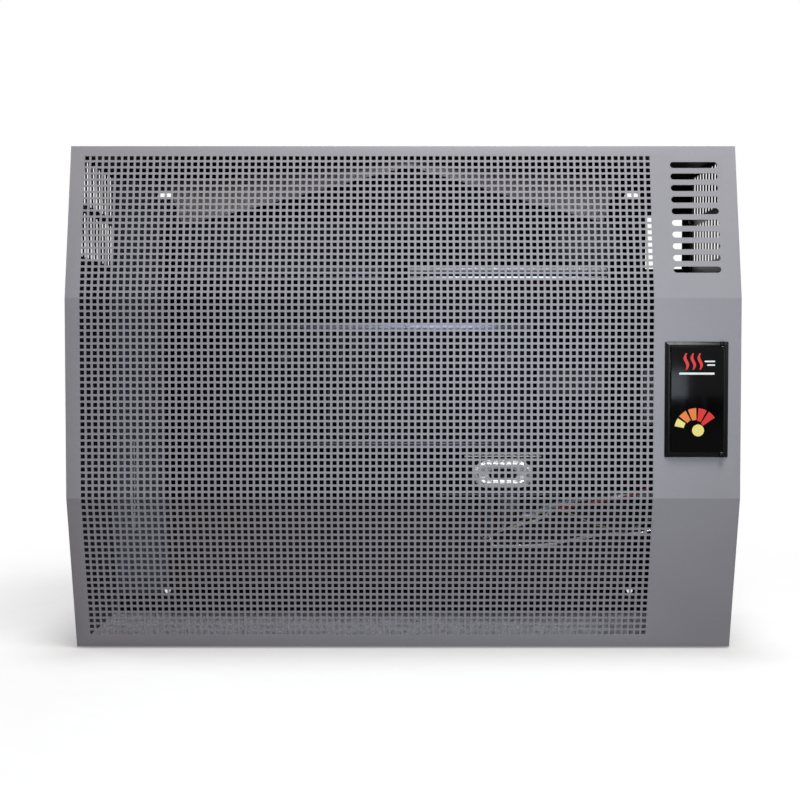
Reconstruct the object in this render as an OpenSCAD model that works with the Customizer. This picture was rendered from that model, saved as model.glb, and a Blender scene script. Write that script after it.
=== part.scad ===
// Wall mounted gas convector heater. Millimetres. The wall is the plane y = 0, the front faces -y, z is up.
// The origin is on the wall, at the middle of the casing's width and height.

/* [Casing] */
// Width of the casing
casing_w = 836; // [820:2:880]
// Depth from the wall to the middle facet of the front
casing_depth = 252; // [248:1:280]
// Thickness of the casing sheet
sheet = 1; // [0.8:0.1:1.2]
// Length of the top facet along its slope
top_slope = 196; // [192:1:220]
// Lean of the top facet from upright, in degrees
top_lean = 10; // [8:0.5:12]
// Height of the upright middle facet
mid_h = 248; // [244:1:280]
// Length of the bottom facet along its slope
bottom_slope = 200; // [196:1:220]
// Lean of the bottom facet from upright, in degrees
bottom_lean = 12.2; // [9:0.2:14]
// Running gap between the casing and the wall frame behind it
frame_gap = 1.5; // [1:0.1:3]

/* [Perforation] */
// Pitch of the square holes
mesh_pitch = 8; // [7:0.5:10]
// Side of a square hole
mesh_hole = 5; // [3:0.5:6]
// Plain margin left of the perforation
mesh_left = 17; // [12:1:30]
// Width of the plain strip right of the perforation
strip_w = 107; // [104:1:120]
// Plain margin above the perforation, along the slope
mesh_top = 12; // [8:1:20]
// Plain margin below the perforation, along the slope
mesh_bottom = 16; // [10:1:24]

/* [Vent slots] */
// Length of a vent slot
slot_l = 59; // [50:1:62]
// Width of a vent slot
slot_w = 8; // [6:0.5:10]
// Pitch of the vent slots
slot_pitch = 15; // [13:0.5:16]
// Number of slots in the strip
strip_slots = 10; // [6:1:11]
// From the top edge to the middle of the first strip slot, along the slope
strip_slot_top = 25; // [20:1:30]
// Number of slots in each row of a side panel
side_slots = 12; // [8:1:13]
// From the wall to the middle of the rearmost side slot
side_slot_rear = 24; // [22:1:30]
// From the top edge to the upper end of the upper row of side slots
side_slot_top = 7; // [6:0.5:12]
// Gap between the two rows of side slots
side_row_gap = 10; // [8:0.5:16]

/* [Access door] */
// Width of the door frame
door_frame_w = 78.5; // [76:0.5:84]
// Height of the door frame
door_frame_h = 143; // [138:1:160]
// Width of the frame's visible border
door_border = 6; // [5:0.5:8]
// How far the frame stands proud of the casing
door_proud = 4; // [3:0.5:5]
// Thickness of the door
door_t = 4; // [3.6:0.2:5]
// Distance of the door's middle from the casing's right edge
door_from_right = 55.5; // [54:0.5:60]
// Height of the door's middle above the casing's middle
door_z = 0; // [-10:1:10]
// Gap round the door
door_gap = 0.5; // [0.4:0.1:0.8]
// Diameter of a hinge pin
hinge_pin_d = 2; // [1.6:0.1:2.2]

/* [Wall frame] */
// Thickness of the wall frame sheet
frame_t = 1.5; // [1.2:0.1:2]
// Depth of the side lips of the rear panel
lip_d = 18; // [14:1:24]
// Distance of the fixings' middle from the casing's middle
fix_x = -6; // [-12:1:0]
// Distance between the two fixings of a row
fix_w = 676; // [672:2:690]
// From the casing's top edge down to the hanging slots
upper_fix_drop = 31; // [28:1:34]
// From the casing's bottom edge up to the lower fixing holes
lower_fix_rise = 32; // [30:1:34]
// Diameter of a fixing hole, and width of a hanging slot
fix_d = 9; // [7:0.5:10]
// Length of a hanging slot
fix_slot_l = 22; // [16:1:28]
// Width of the service opening at the upper right of the rear panel
service_w = 53; // [40:1:60]
// Height of the service opening
service_h = 76; // [60:1:76]

/* [Heat exchanger] */
// Distance of the exchanger's middle from the casing's middle
body_x = -7.5; // [-10:0.5:-5]
// Width of the exchanger over its seam flange
flange_w = 654; // [644:2:658]
// Width of the exchanger's front face
face_w = 572; // [560:2:590]
// From the casing's top edge down to the exchanger
body_drop = 84; // [82:1:90]
// Height of the exchanger
body_h = 366; // [360:1:370]
// Width of the seam flange
flange_lip = 10; // [8:0.5:11]
// Thickness of the exchanger shells
shell_t = 1.5; // [1.2:0.1:2]
// Distance of the exchanger's back from the wall
body_back = 30; // [28:1:34]
// Depth of the rear shell
rear_shell_d = 20; // [16:1:24]
// Depth of the front shell
front_shell_d = 77; // [74:1:80]

/* [Flue and air] */
// Distance of the flue's axis from the casing's middle
flue_x = 8; // [0:1:12]
// From the exchanger's top down to the flue's axis
flue_drop = 47; // [47:1:54]
// Outer diameter of the flue outlet
flue_d = 80; // [70:1:80]
// Outer diameter of the air intake collar
collar_d = 150; // [140:1:154]
// Length of the air intake collar
collar_l = 15; // [12:0.5:17]
// Wall of the flue outlet and the collar
duct_t = 1.2; // [1:0.1:1.5]

/* [Cover plate and sight window] */
// Width of the finned cover
cover_w = 359; // [340:1:364]
// Height of the finned cover
cover_h = 161; // [150:1:162]
// From the exchanger's top down to the finned cover
cover_drop = 137; // [136:1:140]
// Thickness of the finned cover
cover_t = 6; // [5:0.5:8]
// Reach of the cover's fins
fin_d = 16; // [10:1:18]
// Pitch of the cover's fins
fin_pitch = 16.6; // [14:0.2:17]
// Number of fins in a row
fin_count = 14; // [8:1:14]
// Thickness of a gasket
gasket_t = 2; // [1.5:0.1:3]
// Distance between the cover's two bolts
bolt_w = 299; // [280:1:304]
// Width of the sight window's frame
sight_w = 103; // [98:1:106]
// Height of the sight window's frame
sight_h = 50; // [46:1:50]
// Middle of the sight window from the casing's middle
sight_x = 134; // [128:1:140]

/* [Air deflector] */
// Height of the deflector's front ridge below the casing's top
ridge_drop = 15; // [12:1:20]
// Reach of the left wing from the ridge
left_wing = 310; // [290:1:320]
// Reach of the right wing from the ridge
right_wing = 266; // [250:1:280]
// Thickness of the deflector sheet
wing_t = 1; // [0.8:0.1:1.5]

/* [Gas controls] */
// Width of the gas valve body
valve_w = 56; // [50:1:60]
// Depth of the gas valve body
valve_d = 70; // [60:1:76]
// Height of the gas valve body
valve_h = 110; // [104:1:116]
// Diameter of the control knob
knob_d = 40; // [32:1:44]
// Thickness of the control knob
knob_t = 18; // [15:0.5:19]
// Diameter of the valve spindle
spindle_d = 8; // [6:0.5:9]
// Travel of the spindle when it is pressed
spindle_travel = 5; // [3:0.5:5.5]
// Diameter of the igniter button
button_d = 14; // [11:0.5:15]
// Travel of the igniter button
button_travel = 6; // [4:0.5:7]
// Outer diameter of the threaded gas inlet
inlet_d = 20.96; // [16.66:0.01:26.44]
// Radial running clearance of a shaft in its bore
fit = 0.05; // [0.02:0.01:0.08]

/* [Hidden] */
$fn = 48;
eps = 1;          // overshoot of a cut past the face it opens
loose = 0.3;      // gap between pieces that only pass each other

// Casing outline
half_w = casing_w / 2;
casing_h = top_slope * cos(top_lean) + mid_h + bottom_slope * cos(bottom_lean);
z_top = casing_h / 2;
z_bottom = -casing_h / 2;
z_upper_bend = z_top - top_slope * cos(top_lean);
z_lower_bend = z_upper_bend - mid_h;
inner_w = half_w - sheet;
y_front = -casing_depth;

// The front's section at t behind its outer face: top edge, upper bend, lower bend, bottom edge, as [y, z]
function front_line(t) = [
  [y_front + top_slope * sin(top_lean) + t / cos(top_lean), z_top],
  [y_front + t, z_upper_bend - t * tan(top_lean / 2)],
  [y_front + t, z_lower_bend + t * tan(bottom_lean / 2)],
  [y_front + bottom_slope * sin(bottom_lean) + t / cos(bottom_lean), z_bottom]];
function backwards(list) = [for (i = [len(list) - 1:-1:0]) list[i]];

// Perforation: rows and columns that fit between the margins
mesh_cols = floor((casing_w - mesh_left - strip_w) / mesh_pitch);
rows_top = floor((top_slope - mesh_top) / mesh_pitch);
rows_mid = floor(mid_h / mesh_pitch);
rows_bottom = floor((bottom_slope - mesh_bottom) / mesh_pitch);
mesh_x0 = -half_w + mesh_left;
mesh_x1 = mesh_x0 + mesh_cols * mesh_pitch;
mesh_web = mesh_pitch - mesh_hole;
skin_gap = 0.02;  // parts the two half-thickness skins of the perforated sheet
strip_x = (mesh_x1 + half_w) / 2;

// Access door and its hinge
door_x = half_w - door_from_right;
door_hole_w = door_frame_w - 2 * door_border;
door_hole_h = door_frame_h - 2 * door_border;
throat_t = 1.75;
throat_d = 6;
door_w = door_hole_w - 2 * door_gap;
door_h = door_hole_h - 2 * door_gap;
y_frame_front = y_front - door_proud;
y_door_front = y_frame_front - door_t / 2;
y_door_back = y_door_front + door_t;
hinge_x = door_x + door_w / 2 - door_t / 2;
hinge_y = y_frame_front;
pin_in_door = 5;
pin_in_ear = 4;
pin_fit = 0.02;
ear_w = door_t + 1;
catch_w = 6;
catch_h = 16;
catch_d = 5;

// Wall frame
frame_half = inner_w - frame_gap;
rear_top = z_top - sheet - frame_gap;
rear_bottom = z_bottom + sheet + frame_gap;
collar_play = 5;
collar_hole = collar_d / 2 + collar_play;
service_edge = 9;
service_right = frame_half - frame_t - service_edge;
upper_fix_z = z_top - upper_fix_drop;
lower_fix_z = z_bottom + lower_fix_rise;
rail_over_slot = 19;
rail_h = 38;
rail_top = upper_fix_z + rail_over_slot;
rail_bottom = rail_top - rail_h;
rail_lip = 12;
service_below_rail = 10;
service_top = rail_bottom - service_below_rail;
lower_rail_top = lower_fix_z - fix_d / 2 - 1;
lower_rail_lip = 18;
screw_y = lip_d / 2;
screw_from_edge = 70;
screw_z = [z_top - screw_from_edge, z_bottom + screw_from_edge];
screw_play = 0.2;
screw_shaft_d = 4;
screw_head_d = 8;
screw_head_t = 1.8;
screw_l = 8;

// Radiation shield, behind the exchanger
shield_t = 0.8;
shield_gap = 8.4;
y_shield = -frame_t - shield_gap;
shield_past_flange = 5;
shield_half = flange_w / 2 + shield_past_flange;
shield_rise = 40;
shield_bottom = z_bottom + shield_rise;
shield_play = 3;
clip_wire_r = 1.5;
clip_inset = 26;
clip_reach = 8;
clip_z = [z_lower_bend + 54, z_lower_bend - 75];

// Heat exchanger
body_top = z_top - body_drop;
body_floor = body_top - body_h;
y_back = -body_back;
y_seam = y_back - rear_shell_d;
y_face = y_seam - front_shell_d;
seam_half = flange_w / 2 - flange_lip;
back_half = seam_half - 8;
face_half = face_w / 2;
side_cut = shell_t / cos(atan((seam_half - face_half) / front_shell_d));
bracket_w = 40;
bracket_h = 30;
bracket_t = 2;
bracket_x = flange_w / 2 - 97;
bracket_z = [body_top - 84, body_floor + 37];
baffle_w = 400;
baffle_d = 66;
baffle_over_cover = 11;

// Flue, air box and collar
flue_z = body_top - flue_drop;
flue_r = flue_d / 2;
neck_step = 1;
spigot_neck_r = flue_r - neck_step;
flue_flange_r = flue_r + 5;
collar_r = collar_d / 2;
collar_neck_r = collar_r - neck_step;
collar_neck_l = 1;
y_duct_end = -1;
y_box_back = y_duct_end - collar_l;
box_half = collar_r + 13;
box_t = 1;
box_bottom = body_floor + 4;
flange_t = 1.5;
flue_gasket_t = 1;
air_port = [120, 30];
air_port_z = box_bottom + 6;

// Convector plates, upper left and upper right on the exchanger's face
cover_top = body_top - cover_drop;
plate_h = 72;
plate_bottom = cover_top + 3;
plate_top = plate_bottom + plate_h;
plate_fin_inset = 3;
plate_d = 18;
plate_t = 1;
plate_gap_left = -27;
plate_gap_right = 9;
plate_edge = 8;
plate_fin_pitch = 24;

// Finned cover
cover_opening = [270, 118];
cover_z = cover_top - cover_h / 2;
cover_lip = 3;
cover_lip_d = 7;
fin_t = 3;
fin_row_gap = 9;
fin_margin = 10;
bolt_z = cover_top - 44;
rib_t = 2;
rib_d = 3;
bolt_d = 8;
bolt_head_af = 13;
bolt_head_t = 5.5;
bolt_l = 20;
y_cover = y_face - gasket_t;
y_cover_front = y_cover - cover_t;

// Plain port cover beside the finned cover
port_w = 92;
port_h = 33;
port_x = body_x + cover_w / 2 + 7.5 + port_w / 2;
port_z = cover_top - 77;
port_t = 1.5;
port_hole = [60, 16];

// Sight window
sight_z = body_floor + 3 + sight_h / 2;
sight_gasket_t = 1.5;
sight_t = 3;
sight_hole = [44, 22];
glass = [52, 30];
glass_t = 3;
ring = [80, 37];
ring_hole = [37, 15];
ring_t = 5.5;
ring_screw_d = 3;
ring_screw_x = 32;
ring_head_r = 2.6;
ring_head_t = 1.8;
gasket_inset = 2;
sight_lip_d = 4.5;
sight_lip_t = 1.5;
y_sight = y_face - sight_gasket_t;
y_sight_front = y_sight - sight_t;

// Deflector: each wing falls away from the ridge and down towards the wall
wing_inset = 60;
wing_d = 90;
y_wing_front = y_front + wing_inset;
wing_tip_y = y_wing_front + wing_d;
ridge_z = z_top - ridge_drop;
fall_out = 0.087;
fall_back = 0.411;
ridge_root = 16;
wing_bracket_t = 1.5;
wing_bracket_inset = 4;
wing_bracket_h = 14;
wing_bracket_seat = 45;
wing_seat = 0.15;
function wing_z(x, y) = ridge_z - fall_out * abs(x - flue_x) - fall_back * (y - y_wing_front);

// Burner group, under the exchanger by the sight window
carrier = [166, 62];
carrier_t = 2;
carrier_x = sight_x - 4;
carrier_y = y_face + 40;
z_carrier = body_floor;
carrier_lap = 8;
burner_x = carrier_x + 20;
burner_y = carrier_y + 10;
burner_z = body_floor + 32;
burner_r = 12;
burner_l = 420;
burner_foot = body_floor - 28;
burner_bore_r = 9;
burner_bore_l = 35;
injector_r = 11.5;
injector_t = 12;
injector_arm = 16;
injector_arm_r = 5.5;
injector_z = burner_foot - injector_t / 2;
pilot_x = sight_x - 14;
electrode_x = sight_x + 4;
couple_x = sight_x - 27;
pilot_y = carrier_y - 14;
pilot_r = 5;
electrode_r = 3.5;
couple_r = 3;
z_pilot_top = body_floor + 20;
z_pilot_foot = body_floor - 56;
z_electrode_foot = body_floor - 44;
z_couple_foot = body_floor - 52;
port_count = 12;
port_r = 1.2;
flame_head = [16, 10, 8];
pilot_nut_h = 10;
couple_nut_h = 9;
spark_wire_r = 0.8;
spark_wire_l = 10;

// Gas valve, behind the access door
valve_left = door_x - valve_w / 2 + 2;
y_valve_front = y_front + 52;
y_valve_back = y_valve_front + valve_d;
valve_top = door_z + 48;
valve_bottom = valve_top - valve_h;
spindle_z = door_z + 8;
boss_r = 12;
boss_t = 8;
spindle_r = spindle_d / 2;
y_knob_front = y_front + 8;
y_knob_back = y_knob_front + knob_t;
spindle_in_knob = 10;
knob_step = 3;
grip_w = 8;
grip_d = 4;
grip_l = knob_d - 8;
spindle_in_valve = 15;
y_spindle_end = y_valve_front + spindle_in_valve;
plunger_l = 6;
end_room = 1;
port_l = 6;
small_port_r = 4;
gas_port_r = 7;
head_r = 16;
head_t = 12;
cap_r = 7;
cap_t = 5;
cap_inset = 11;
tab_in = 14;
web_gap = 2;
pilot_port = [valve_left + 8, y_valve_front + 11];
couple_port = [valve_left + 7, y_valve_front + 28];
gas_port = [valve_left + 11, y_valve_front + 50];
bulb_port = [valve_left + 7, valve_bottom + 22];
terminal_r = 3;
terminal_l = 3;
y_terminal = y_valve_front - 14;
valve_bracket_t = 2;
inlet_x = door_x + 9.5;
inlet_y = y_valve_front + valve_d / 2;
inlet_boss_r = 16;
inlet_boss_t = 10;
inlet_thread_l = 20;
inlet_end = z_bottom + 18;
pipe_r = inlet_d / 2 - 0.5;
pipe_bore_r = pipe_r - 2;
nut_r = pipe_r + 7;
nut_t = 18;
supply_hole_r = inlet_d / 2 + 8;
button_z = door_z - 42;
button_r = button_d / 2;
igniter_r = button_r + 2.5;
igniter_plate_t = 2;
igniter_plate_w = 34;
igniter_nut_af = 25;
igniter_nut_t = 4;
y_igniter_back = y_valve_front - igniter_plate_t;
igniter_l = 34;
y_button_front = y_front + 5;
button_l = 22;

// Thermostat bulb, low on the rear panel
bulb_r = 4.5;
bulb_l = 90;
bulb_from_shield_end = 174.5;
bulb_x = body_x + shield_half - bulb_from_shield_end;
bulb_y = -frame_t - 11;
bulb_drop = 6.5;
clip_from_end = 12;
bulb_z = shield_bottom - bulb_drop;
clip_w = 10;
clip_t = 1;

// ---- Helpers ----

module block(lo, hi) { translate(lo) cube(hi - lo); }
module along_x(x0, x1) { translate([x0, 0, 0]) rotate([90, 0, 90]) linear_extrude(x1 - x0) children(); }
module along_z(z0, z1) { translate([0, 0, z0]) linear_extrude(z1 - z0) children(); }
module disc_x(r, x0, x1, y, z) { translate([x0, y, z]) rotate([0, 90, 0]) cylinder(r = r, h = x1 - x0); }
module disc_y(r, y0, y1, x, z) { translate([x, y1, z]) rotate([90, 0, 0]) cylinder(r = r, h = y1 - y0); }
module disc_z(r, z0, z1, x, y) { translate([x, y, z0]) cylinder(r = r, h = z1 - z0); }
module hex_y(af, y0, y1, x, z) {
  translate([x, y1, z]) rotate([90, 0, 0]) cylinder(d = af / cos(30), h = y1 - y0, $fn = 6);
}
module hex_z(r, z0, z1, x, y) { translate([x, y, z0]) cylinder(r = r, h = z1 - z0, $fn = 6); }

// Round-ended bar through the front-to-back direction, long side along x
module obround_y(size, y0, y1, x, z) {
  reach = (size[0] - size[1]) / 2;
  for (side = [-1, 1]) disc_y(size[1] / 2, y0, y1, x + side * reach, z);
  block([x - reach, y0, z - size[1] / 2], [x + reach, y1, z + size[1] / 2]);
}

// Upright round-ended bar through the left-to-right direction
module obround_x(size, x0, x1, y, z) {
  reach = (size[0] - size[1]) / 2;
  for (side = [-1, 1]) disc_x(size[1] / 2, x0, x1, y, z + side * reach);
  block([x0, y - size[1] / 2, z - reach], [x1, y + size[1] / 2, z + reach]);
}

// Lays its children on a facet of the front, whose outer face is then y = 0 and whose z runs up the facet
module on_top_facet() { translate([0, y_front, z_upper_bend]) rotate([-top_lean, 0, 0]) children(); }
module on_mid_facet() { translate([0, y_front, z_lower_bend]) children(); }
module on_bottom_facet() { translate([0, y_front, z_lower_bend]) rotate([bottom_lean, 0, 0]) children(); }

// ---- Tubes and leads: one polyhedron swept along a smooth curve through its points ----

tube_sides = 8;
tube_steps = 4;
function unit(v) = v / norm(v);
function curve_at(p, i, t) =
  let (n = len(p) - 1, a = p[max(i - 1, 0)], b = p[i], c = p[i + 1], d = p[min(i + 2, n)])
  0.5 * (2 * b + (c - a) * t + (2 * a - 5 * b + 4 * c - d) * t * t + (3 * b - a - 3 * c + d) * t * t * t);
function curve(p) = concat(
  [for (i = [0:len(p) - 2], s = [0:tube_steps - 1]) curve_at(p, i, s / tube_steps)], [p[len(p) - 1]]);
function headings(p, path) =
  let (n = len(path) - 1, m = len(p) - 1)
  [for (i = [0:n]) i == 0 ? unit(p[1] - p[0]) : i == n ? unit(p[m] - p[m - 1]) : unit(path[i + 1] - path[i - 1])];
function carried(side, dir) = unit(side - (side * dir) * dir);
function sides_along(dirs, i = 0, side = [0.3, 1, 0.1]) =
  i == len(dirs) ? [] : let (s = carried(side, dirs[i])) concat([s], sides_along(dirs, i + 1, s));

module tube_along(points, d) {
  path = curve(points);
  dirs = headings(points, path);
  side = sides_along(dirs);
  rings = len(path);
  verts = [for (i = [0:rings - 1], k = [0:tube_sides - 1])
    let (a = 360 * k / tube_sides) path[i] + d / 2 * (cos(a) * side[i] + sin(a) * cross(dirs[i], side[i]))];
  walls = [for (i = [0:rings - 2], k = [0:tube_sides - 1])
    let (a = i * tube_sides, m = (k + 1) % tube_sides)
    [a + k, a + tube_sides + k, a + tube_sides + m, a + m]];
  start = [for (k = [0:tube_sides - 1]) k];
  end = [for (k = [tube_sides - 1:-1:0]) (rings - 1) * tube_sides + k];
  polyhedron(points = verts, faces = concat([start], walls, [end]), convexity = 6);
}

// ---- Casing ----

module front_skin(t0, t1) {
  along_x(-half_w, half_w) polygon(concat(front_line(t0), backwards(front_line(t1))));
}

module front_cuts() {
  on_top_facet() for (i = [0:strip_slots - 1])
    obround_y([slot_l, slot_w], -10, 10, strip_x, top_slope - strip_slot_top - i * slot_pitch);
  throat_w = door_hole_w + 2 * throat_t + door_gap;
  throat_h = door_hole_h + 2 * throat_t + door_gap;
  translate([door_x, y_front, door_z]) cube([throat_w, 10, throat_h], center = true);
}

// One row of holes across a facet, as a slot as wide as the perforation
module row_slot(z) {
  translate([mesh_x0 + mesh_web / 2, -10, z - mesh_hole / 2])
    cube([mesh_cols * mesh_pitch - mesh_web, 20, mesh_hole]);
}

// The perforated sheet: upright slots in its outer half and level slots in its inner half
module front_panel() color("#94949c") {
  top_rows_z = rows_top * mesh_pitch * cos(top_lean);
  bottom_rows_z = rows_bottom * mesh_pitch * cos(bottom_lean);
  difference() {
    front_skin(0, (sheet - skin_gap) / 2);
    for (i = [0:mesh_cols - 1])
      translate([mesh_x0 + (i + 0.5) * mesh_pitch - mesh_hole / 2, y_front - 1, z_lower_bend - bottom_rows_z])
        cube([mesh_hole, casing_depth / 2, mid_h + bottom_rows_z + top_rows_z]);
    front_cuts();
  }
  difference() {
    front_skin((sheet + skin_gap) / 2, sheet);
    on_top_facet() for (j = [0:rows_top - 1]) row_slot((j + 0.5) * mesh_pitch);
    on_mid_facet() for (j = [0:rows_mid - 1]) row_slot(mid_h - (j + 0.5) * mesh_pitch);
    on_bottom_facet() for (j = [0:rows_bottom - 1]) row_slot(-(j + 0.5) * mesh_pitch);
    front_cuts();
  }
}

module side_panel(x0) {
  difference() {
    along_x(x0, x0 + sheet) polygon(concat(front_line(sheet), [[0, z_bottom], [0, z_top]]));
    for (row = [0:1], i = [0:side_slots - 1])
      obround_x([slot_l, slot_w], x0 - eps, x0 + sheet + eps,
        -side_slot_rear - i * slot_pitch, z_top - side_slot_top - slot_l / 2 - row * (slot_l + side_row_gap));
    for (z = screw_z) disc_x(screw_shaft_d / 2 + screw_play, x0 - eps, x0 + sheet + eps, -screw_y, z);
  }
}
module left_side_panel() color("#8f8f97") side_panel(-half_w);
module right_side_panel() color("#8f8f97") side_panel(half_w - sheet);

module top_panel() color("#9a989b")
  block([-inner_w, front_line(sheet)[0][0], z_top - sheet], [inner_w, 0, z_top]);

module bottom_panel() color("#83828a") difference() {
  block([-inner_w, front_line(sheet)[3][0], z_bottom], [inner_w, 0, z_bottom + sheet]);
  disc_z(supply_hole_r, z_bottom - eps, z_bottom + sheet + eps, inlet_x, inlet_y);
}

module casing_screws() color("#b9babd") for (side = [-1, 1], z = screw_z) scale([side, 1, 1]) {
  disc_x(screw_head_d / 2, half_w, half_w + screw_head_t, -screw_y, z);
  disc_x(screw_shaft_d / 2, half_w - screw_l, half_w, -screw_y, z);
}

// ---- Access door ----

module door_frame() color("#1c1c1e") difference() {
  union() {
    translate([door_x - door_frame_w / 2, y_frame_front, door_z - door_frame_h / 2])
      cube([door_frame_w, door_proud, door_frame_h]);
    translate([door_x - door_hole_w / 2 - throat_t, y_front, door_z - door_hole_h / 2 - throat_t])
      cube([door_hole_w + 2 * throat_t, throat_d, door_hole_h + 2 * throat_t]);
    for (side = [-1, 1]) translate([hinge_x, 0, door_z + side * (door_hole_h + door_border) / 2])
      block([-ear_w / 2, y_door_front, -door_border / 2], [ear_w / 2, y_front, door_border / 2]);
  }
  translate([door_x, y_front, door_z]) cube([door_hole_w, 4 * throat_d, door_hole_h], center = true);
  disc_z(hinge_pin_d / 2 + pin_fit, door_z - door_hole_h / 2 - pin_in_ear, door_z + door_hole_h / 2 + pin_in_ear,
    hinge_x, hinge_y);
}

module door_hinge_pins() color("#a8a9ac") for (side = [-1, 1])
  translate([0, 0, door_z]) scale([1, 1, side])
    disc_z(hinge_pin_d / 2, door_h / 2 - pin_in_door, door_hole_h / 2 + pin_in_ear, hinge_x, hinge_y);

module door_catch() color("#55565a")
  translate([door_x - door_hole_w / 2, y_door_back + loose, door_z])
    block([0, 0, -catch_h / 2], [catch_w, catch_d, catch_h / 2]);

module access_door() color("#0b0b0c") difference() {
  union() {
    block([door_x - door_w / 2, y_door_front, door_z - door_h / 2], [hinge_x, y_door_back, door_z + door_h / 2]);
    disc_z(door_t / 2, door_z - door_h / 2, door_z + door_h / 2, hinge_x, hinge_y);
  }
  for (side = [-1, 1]) translate([0, 0, door_z]) scale([1, 1, side])
    disc_z(hinge_pin_d / 2 + fit, door_h / 2 - pin_in_door - door_gap, door_h / 2 + eps, hinge_x, hinge_y);
}

// ---- Wall frame ----

module hanging_slots(y0, y1) {
  for (side = [-1, 1]) obround_y([fix_slot_l, fix_d], y0, y1, fix_x + side * fix_w / 2, upper_fix_z);
}

module rear_panel() color("#8b8d96") difference() {
  union() {
    block([-frame_half, -frame_t, rear_bottom], [frame_half, 0, rear_top]);
    for (side = [-1, 1]) scale([side, 1, 1])
      block([frame_half - frame_t, -lip_d, rear_bottom], [frame_half, -frame_t, rear_top]);
  }
  hanging_slots(-frame_t - eps, eps);
  for (side = [-1, 1]) disc_y(fix_d / 2, -frame_t - eps, eps, fix_x + side * fix_w / 2, lower_fix_z);
  disc_y(collar_hole, -frame_t - eps, eps, flue_x, flue_z);
  block([service_right - service_w, -frame_t - eps, service_top - service_h], [service_right, eps, service_top]);
  for (side = [-1, 1], z = screw_z) scale([side, 1, 1])
    disc_x(screw_shaft_d / 2 + fit, frame_half - frame_t - eps, frame_half + eps, -screw_y, z);
}

module channel_rail(z0, z1, lip) {
  reach = frame_half - frame_t - frame_gap;
  block([-reach, -2 * frame_t, z0], [reach, -frame_t, z1]);
  for (z = [z0, z1 - frame_t]) block([-reach, -frame_t - lip, z], [reach, -2 * frame_t, z + frame_t]);
}
module hanging_rail() color("#7d7f88") difference() {
  channel_rail(rail_bottom, rail_top, rail_lip);
  hanging_slots(-frame_t - rail_lip, -frame_t + eps);
}
module lower_rail() color("#7d7f88") channel_rail(rear_bottom + frame_gap, lower_rail_top, lower_rail_lip);

module radiation_shield() color("#756f6c") difference() {
  block([body_x - shield_half, y_shield, shield_bottom], [body_x + shield_half, -frame_t, body_top]);
  block([body_x - shield_half + shield_t, y_shield + shield_t, shield_bottom - eps],
    [body_x + shield_half - shield_t, eps, body_top + eps]);
  disc_y(collar_hole, y_shield - eps, eps, flue_x, flue_z);
  for (side = [-1, 1], z = bracket_z)
    translate([body_x + side * bracket_x, 0, z])
      cube([bracket_w + 2 * shield_play, 4 * shield_gap, bracket_h + 2 * shield_play], center = true);
}

module casing_clip() color("#c4c5c8") {
  x = -frame_half + clip_inset;
  y = -frame_t - clip_reach;
  disc_z(clip_wire_r, clip_z[1], clip_z[0], x, y);
  for (end = clip_z) {
    translate([x, y, end]) sphere(clip_wire_r);
    disc_y(clip_wire_r, y, -frame_t, x, end);
  }
}

// ---- Heat exchanger ----

module flange_plate(y0, y1) {
  block([body_x - flange_w / 2, y0, body_floor - flange_lip], [body_x + flange_w / 2, y1, body_top + flange_lip]);
}

// A pan whose half width is h0 at y0 and h1 at y1, between two heights
module pan(h0, y0, h1, y1, z0, z1) {
  translate([body_x, 0, 0]) along_z(z0, z1) polygon([[-h0, y0], [-h1, y1], [h1, y1], [h0, y0]]);
}

module exchanger_rear_shell() color("#6e717c") difference() {
  union() {
    pan(seam_half, y_seam, back_half, y_back, body_floor, body_top);
    flange_plate(y_seam, y_seam + shell_t);
  }
  pan(seam_half - shell_t, y_seam - eps, back_half - shell_t, y_back - shell_t,
    body_floor + shell_t, body_top - shell_t);
  disc_y(spigot_neck_r + loose, y_back - shell_t - eps, y_back + eps, flue_x, flue_z);
  block([flue_x - air_port[0] / 2, y_back - shell_t - eps, air_port_z],
    [flue_x + air_port[0] / 2, y_back + eps, air_port_z + air_port[1]]);
}

module exchanger_front_shell() color("#6e717c") difference() {
  union() {
    pan(face_half, y_face, seam_half, y_seam, body_floor, body_top);
    flange_plate(y_seam - shell_t, y_seam);
  }
  pan(face_half - side_cut, y_face + shell_t, seam_half - side_cut, y_seam + eps,
    body_floor + shell_t, body_top - shell_t);
  translate([body_x, y_face, cover_z]) cube([cover_opening[0], 10, cover_opening[1]], center = true);
  for (side = [-1, 1])
    disc_y(bolt_d / 2 + fit, y_face - eps, y_face + shell_t + eps, body_x + side * bolt_w / 2, bolt_z);
  obround_y(sight_hole, y_face - eps, y_face + shell_t + eps, sight_x, sight_z);
  obround_y(port_hole, y_face - eps, y_face + shell_t + eps, port_x, port_z);
  translate([carrier_x, carrier_y, z_carrier])
    cube([carrier[0] - 2 * carrier_lap, carrier[1] - 2 * carrier_lap, 10 * shell_t], center = true);
}

module exchanger_brackets() color("#9a9ca1") for (side = [-1, 1], z = bracket_z)
  translate([body_x + side * bracket_x, 0, z]) {
    for (y = [y_back, -frame_t - bracket_t])
      block([-bracket_w / 2, y, -bracket_h / 2], [bracket_w / 2, y + bracket_t, bracket_h / 2]);
    block([-bracket_t / 2, y_back + bracket_t, -bracket_h / 2],
      [bracket_t / 2, -frame_t - bracket_t, bracket_h / 2]);
  }

module flue_baffle() color("#5b5a5c")
  block([body_x - baffle_w / 2, y_back - shell_t - baffle_d, cover_top + baffle_over_cover],
    [body_x + baffle_w / 2, y_back - shell_t, cover_top + baffle_over_cover + shell_t]);

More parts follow.
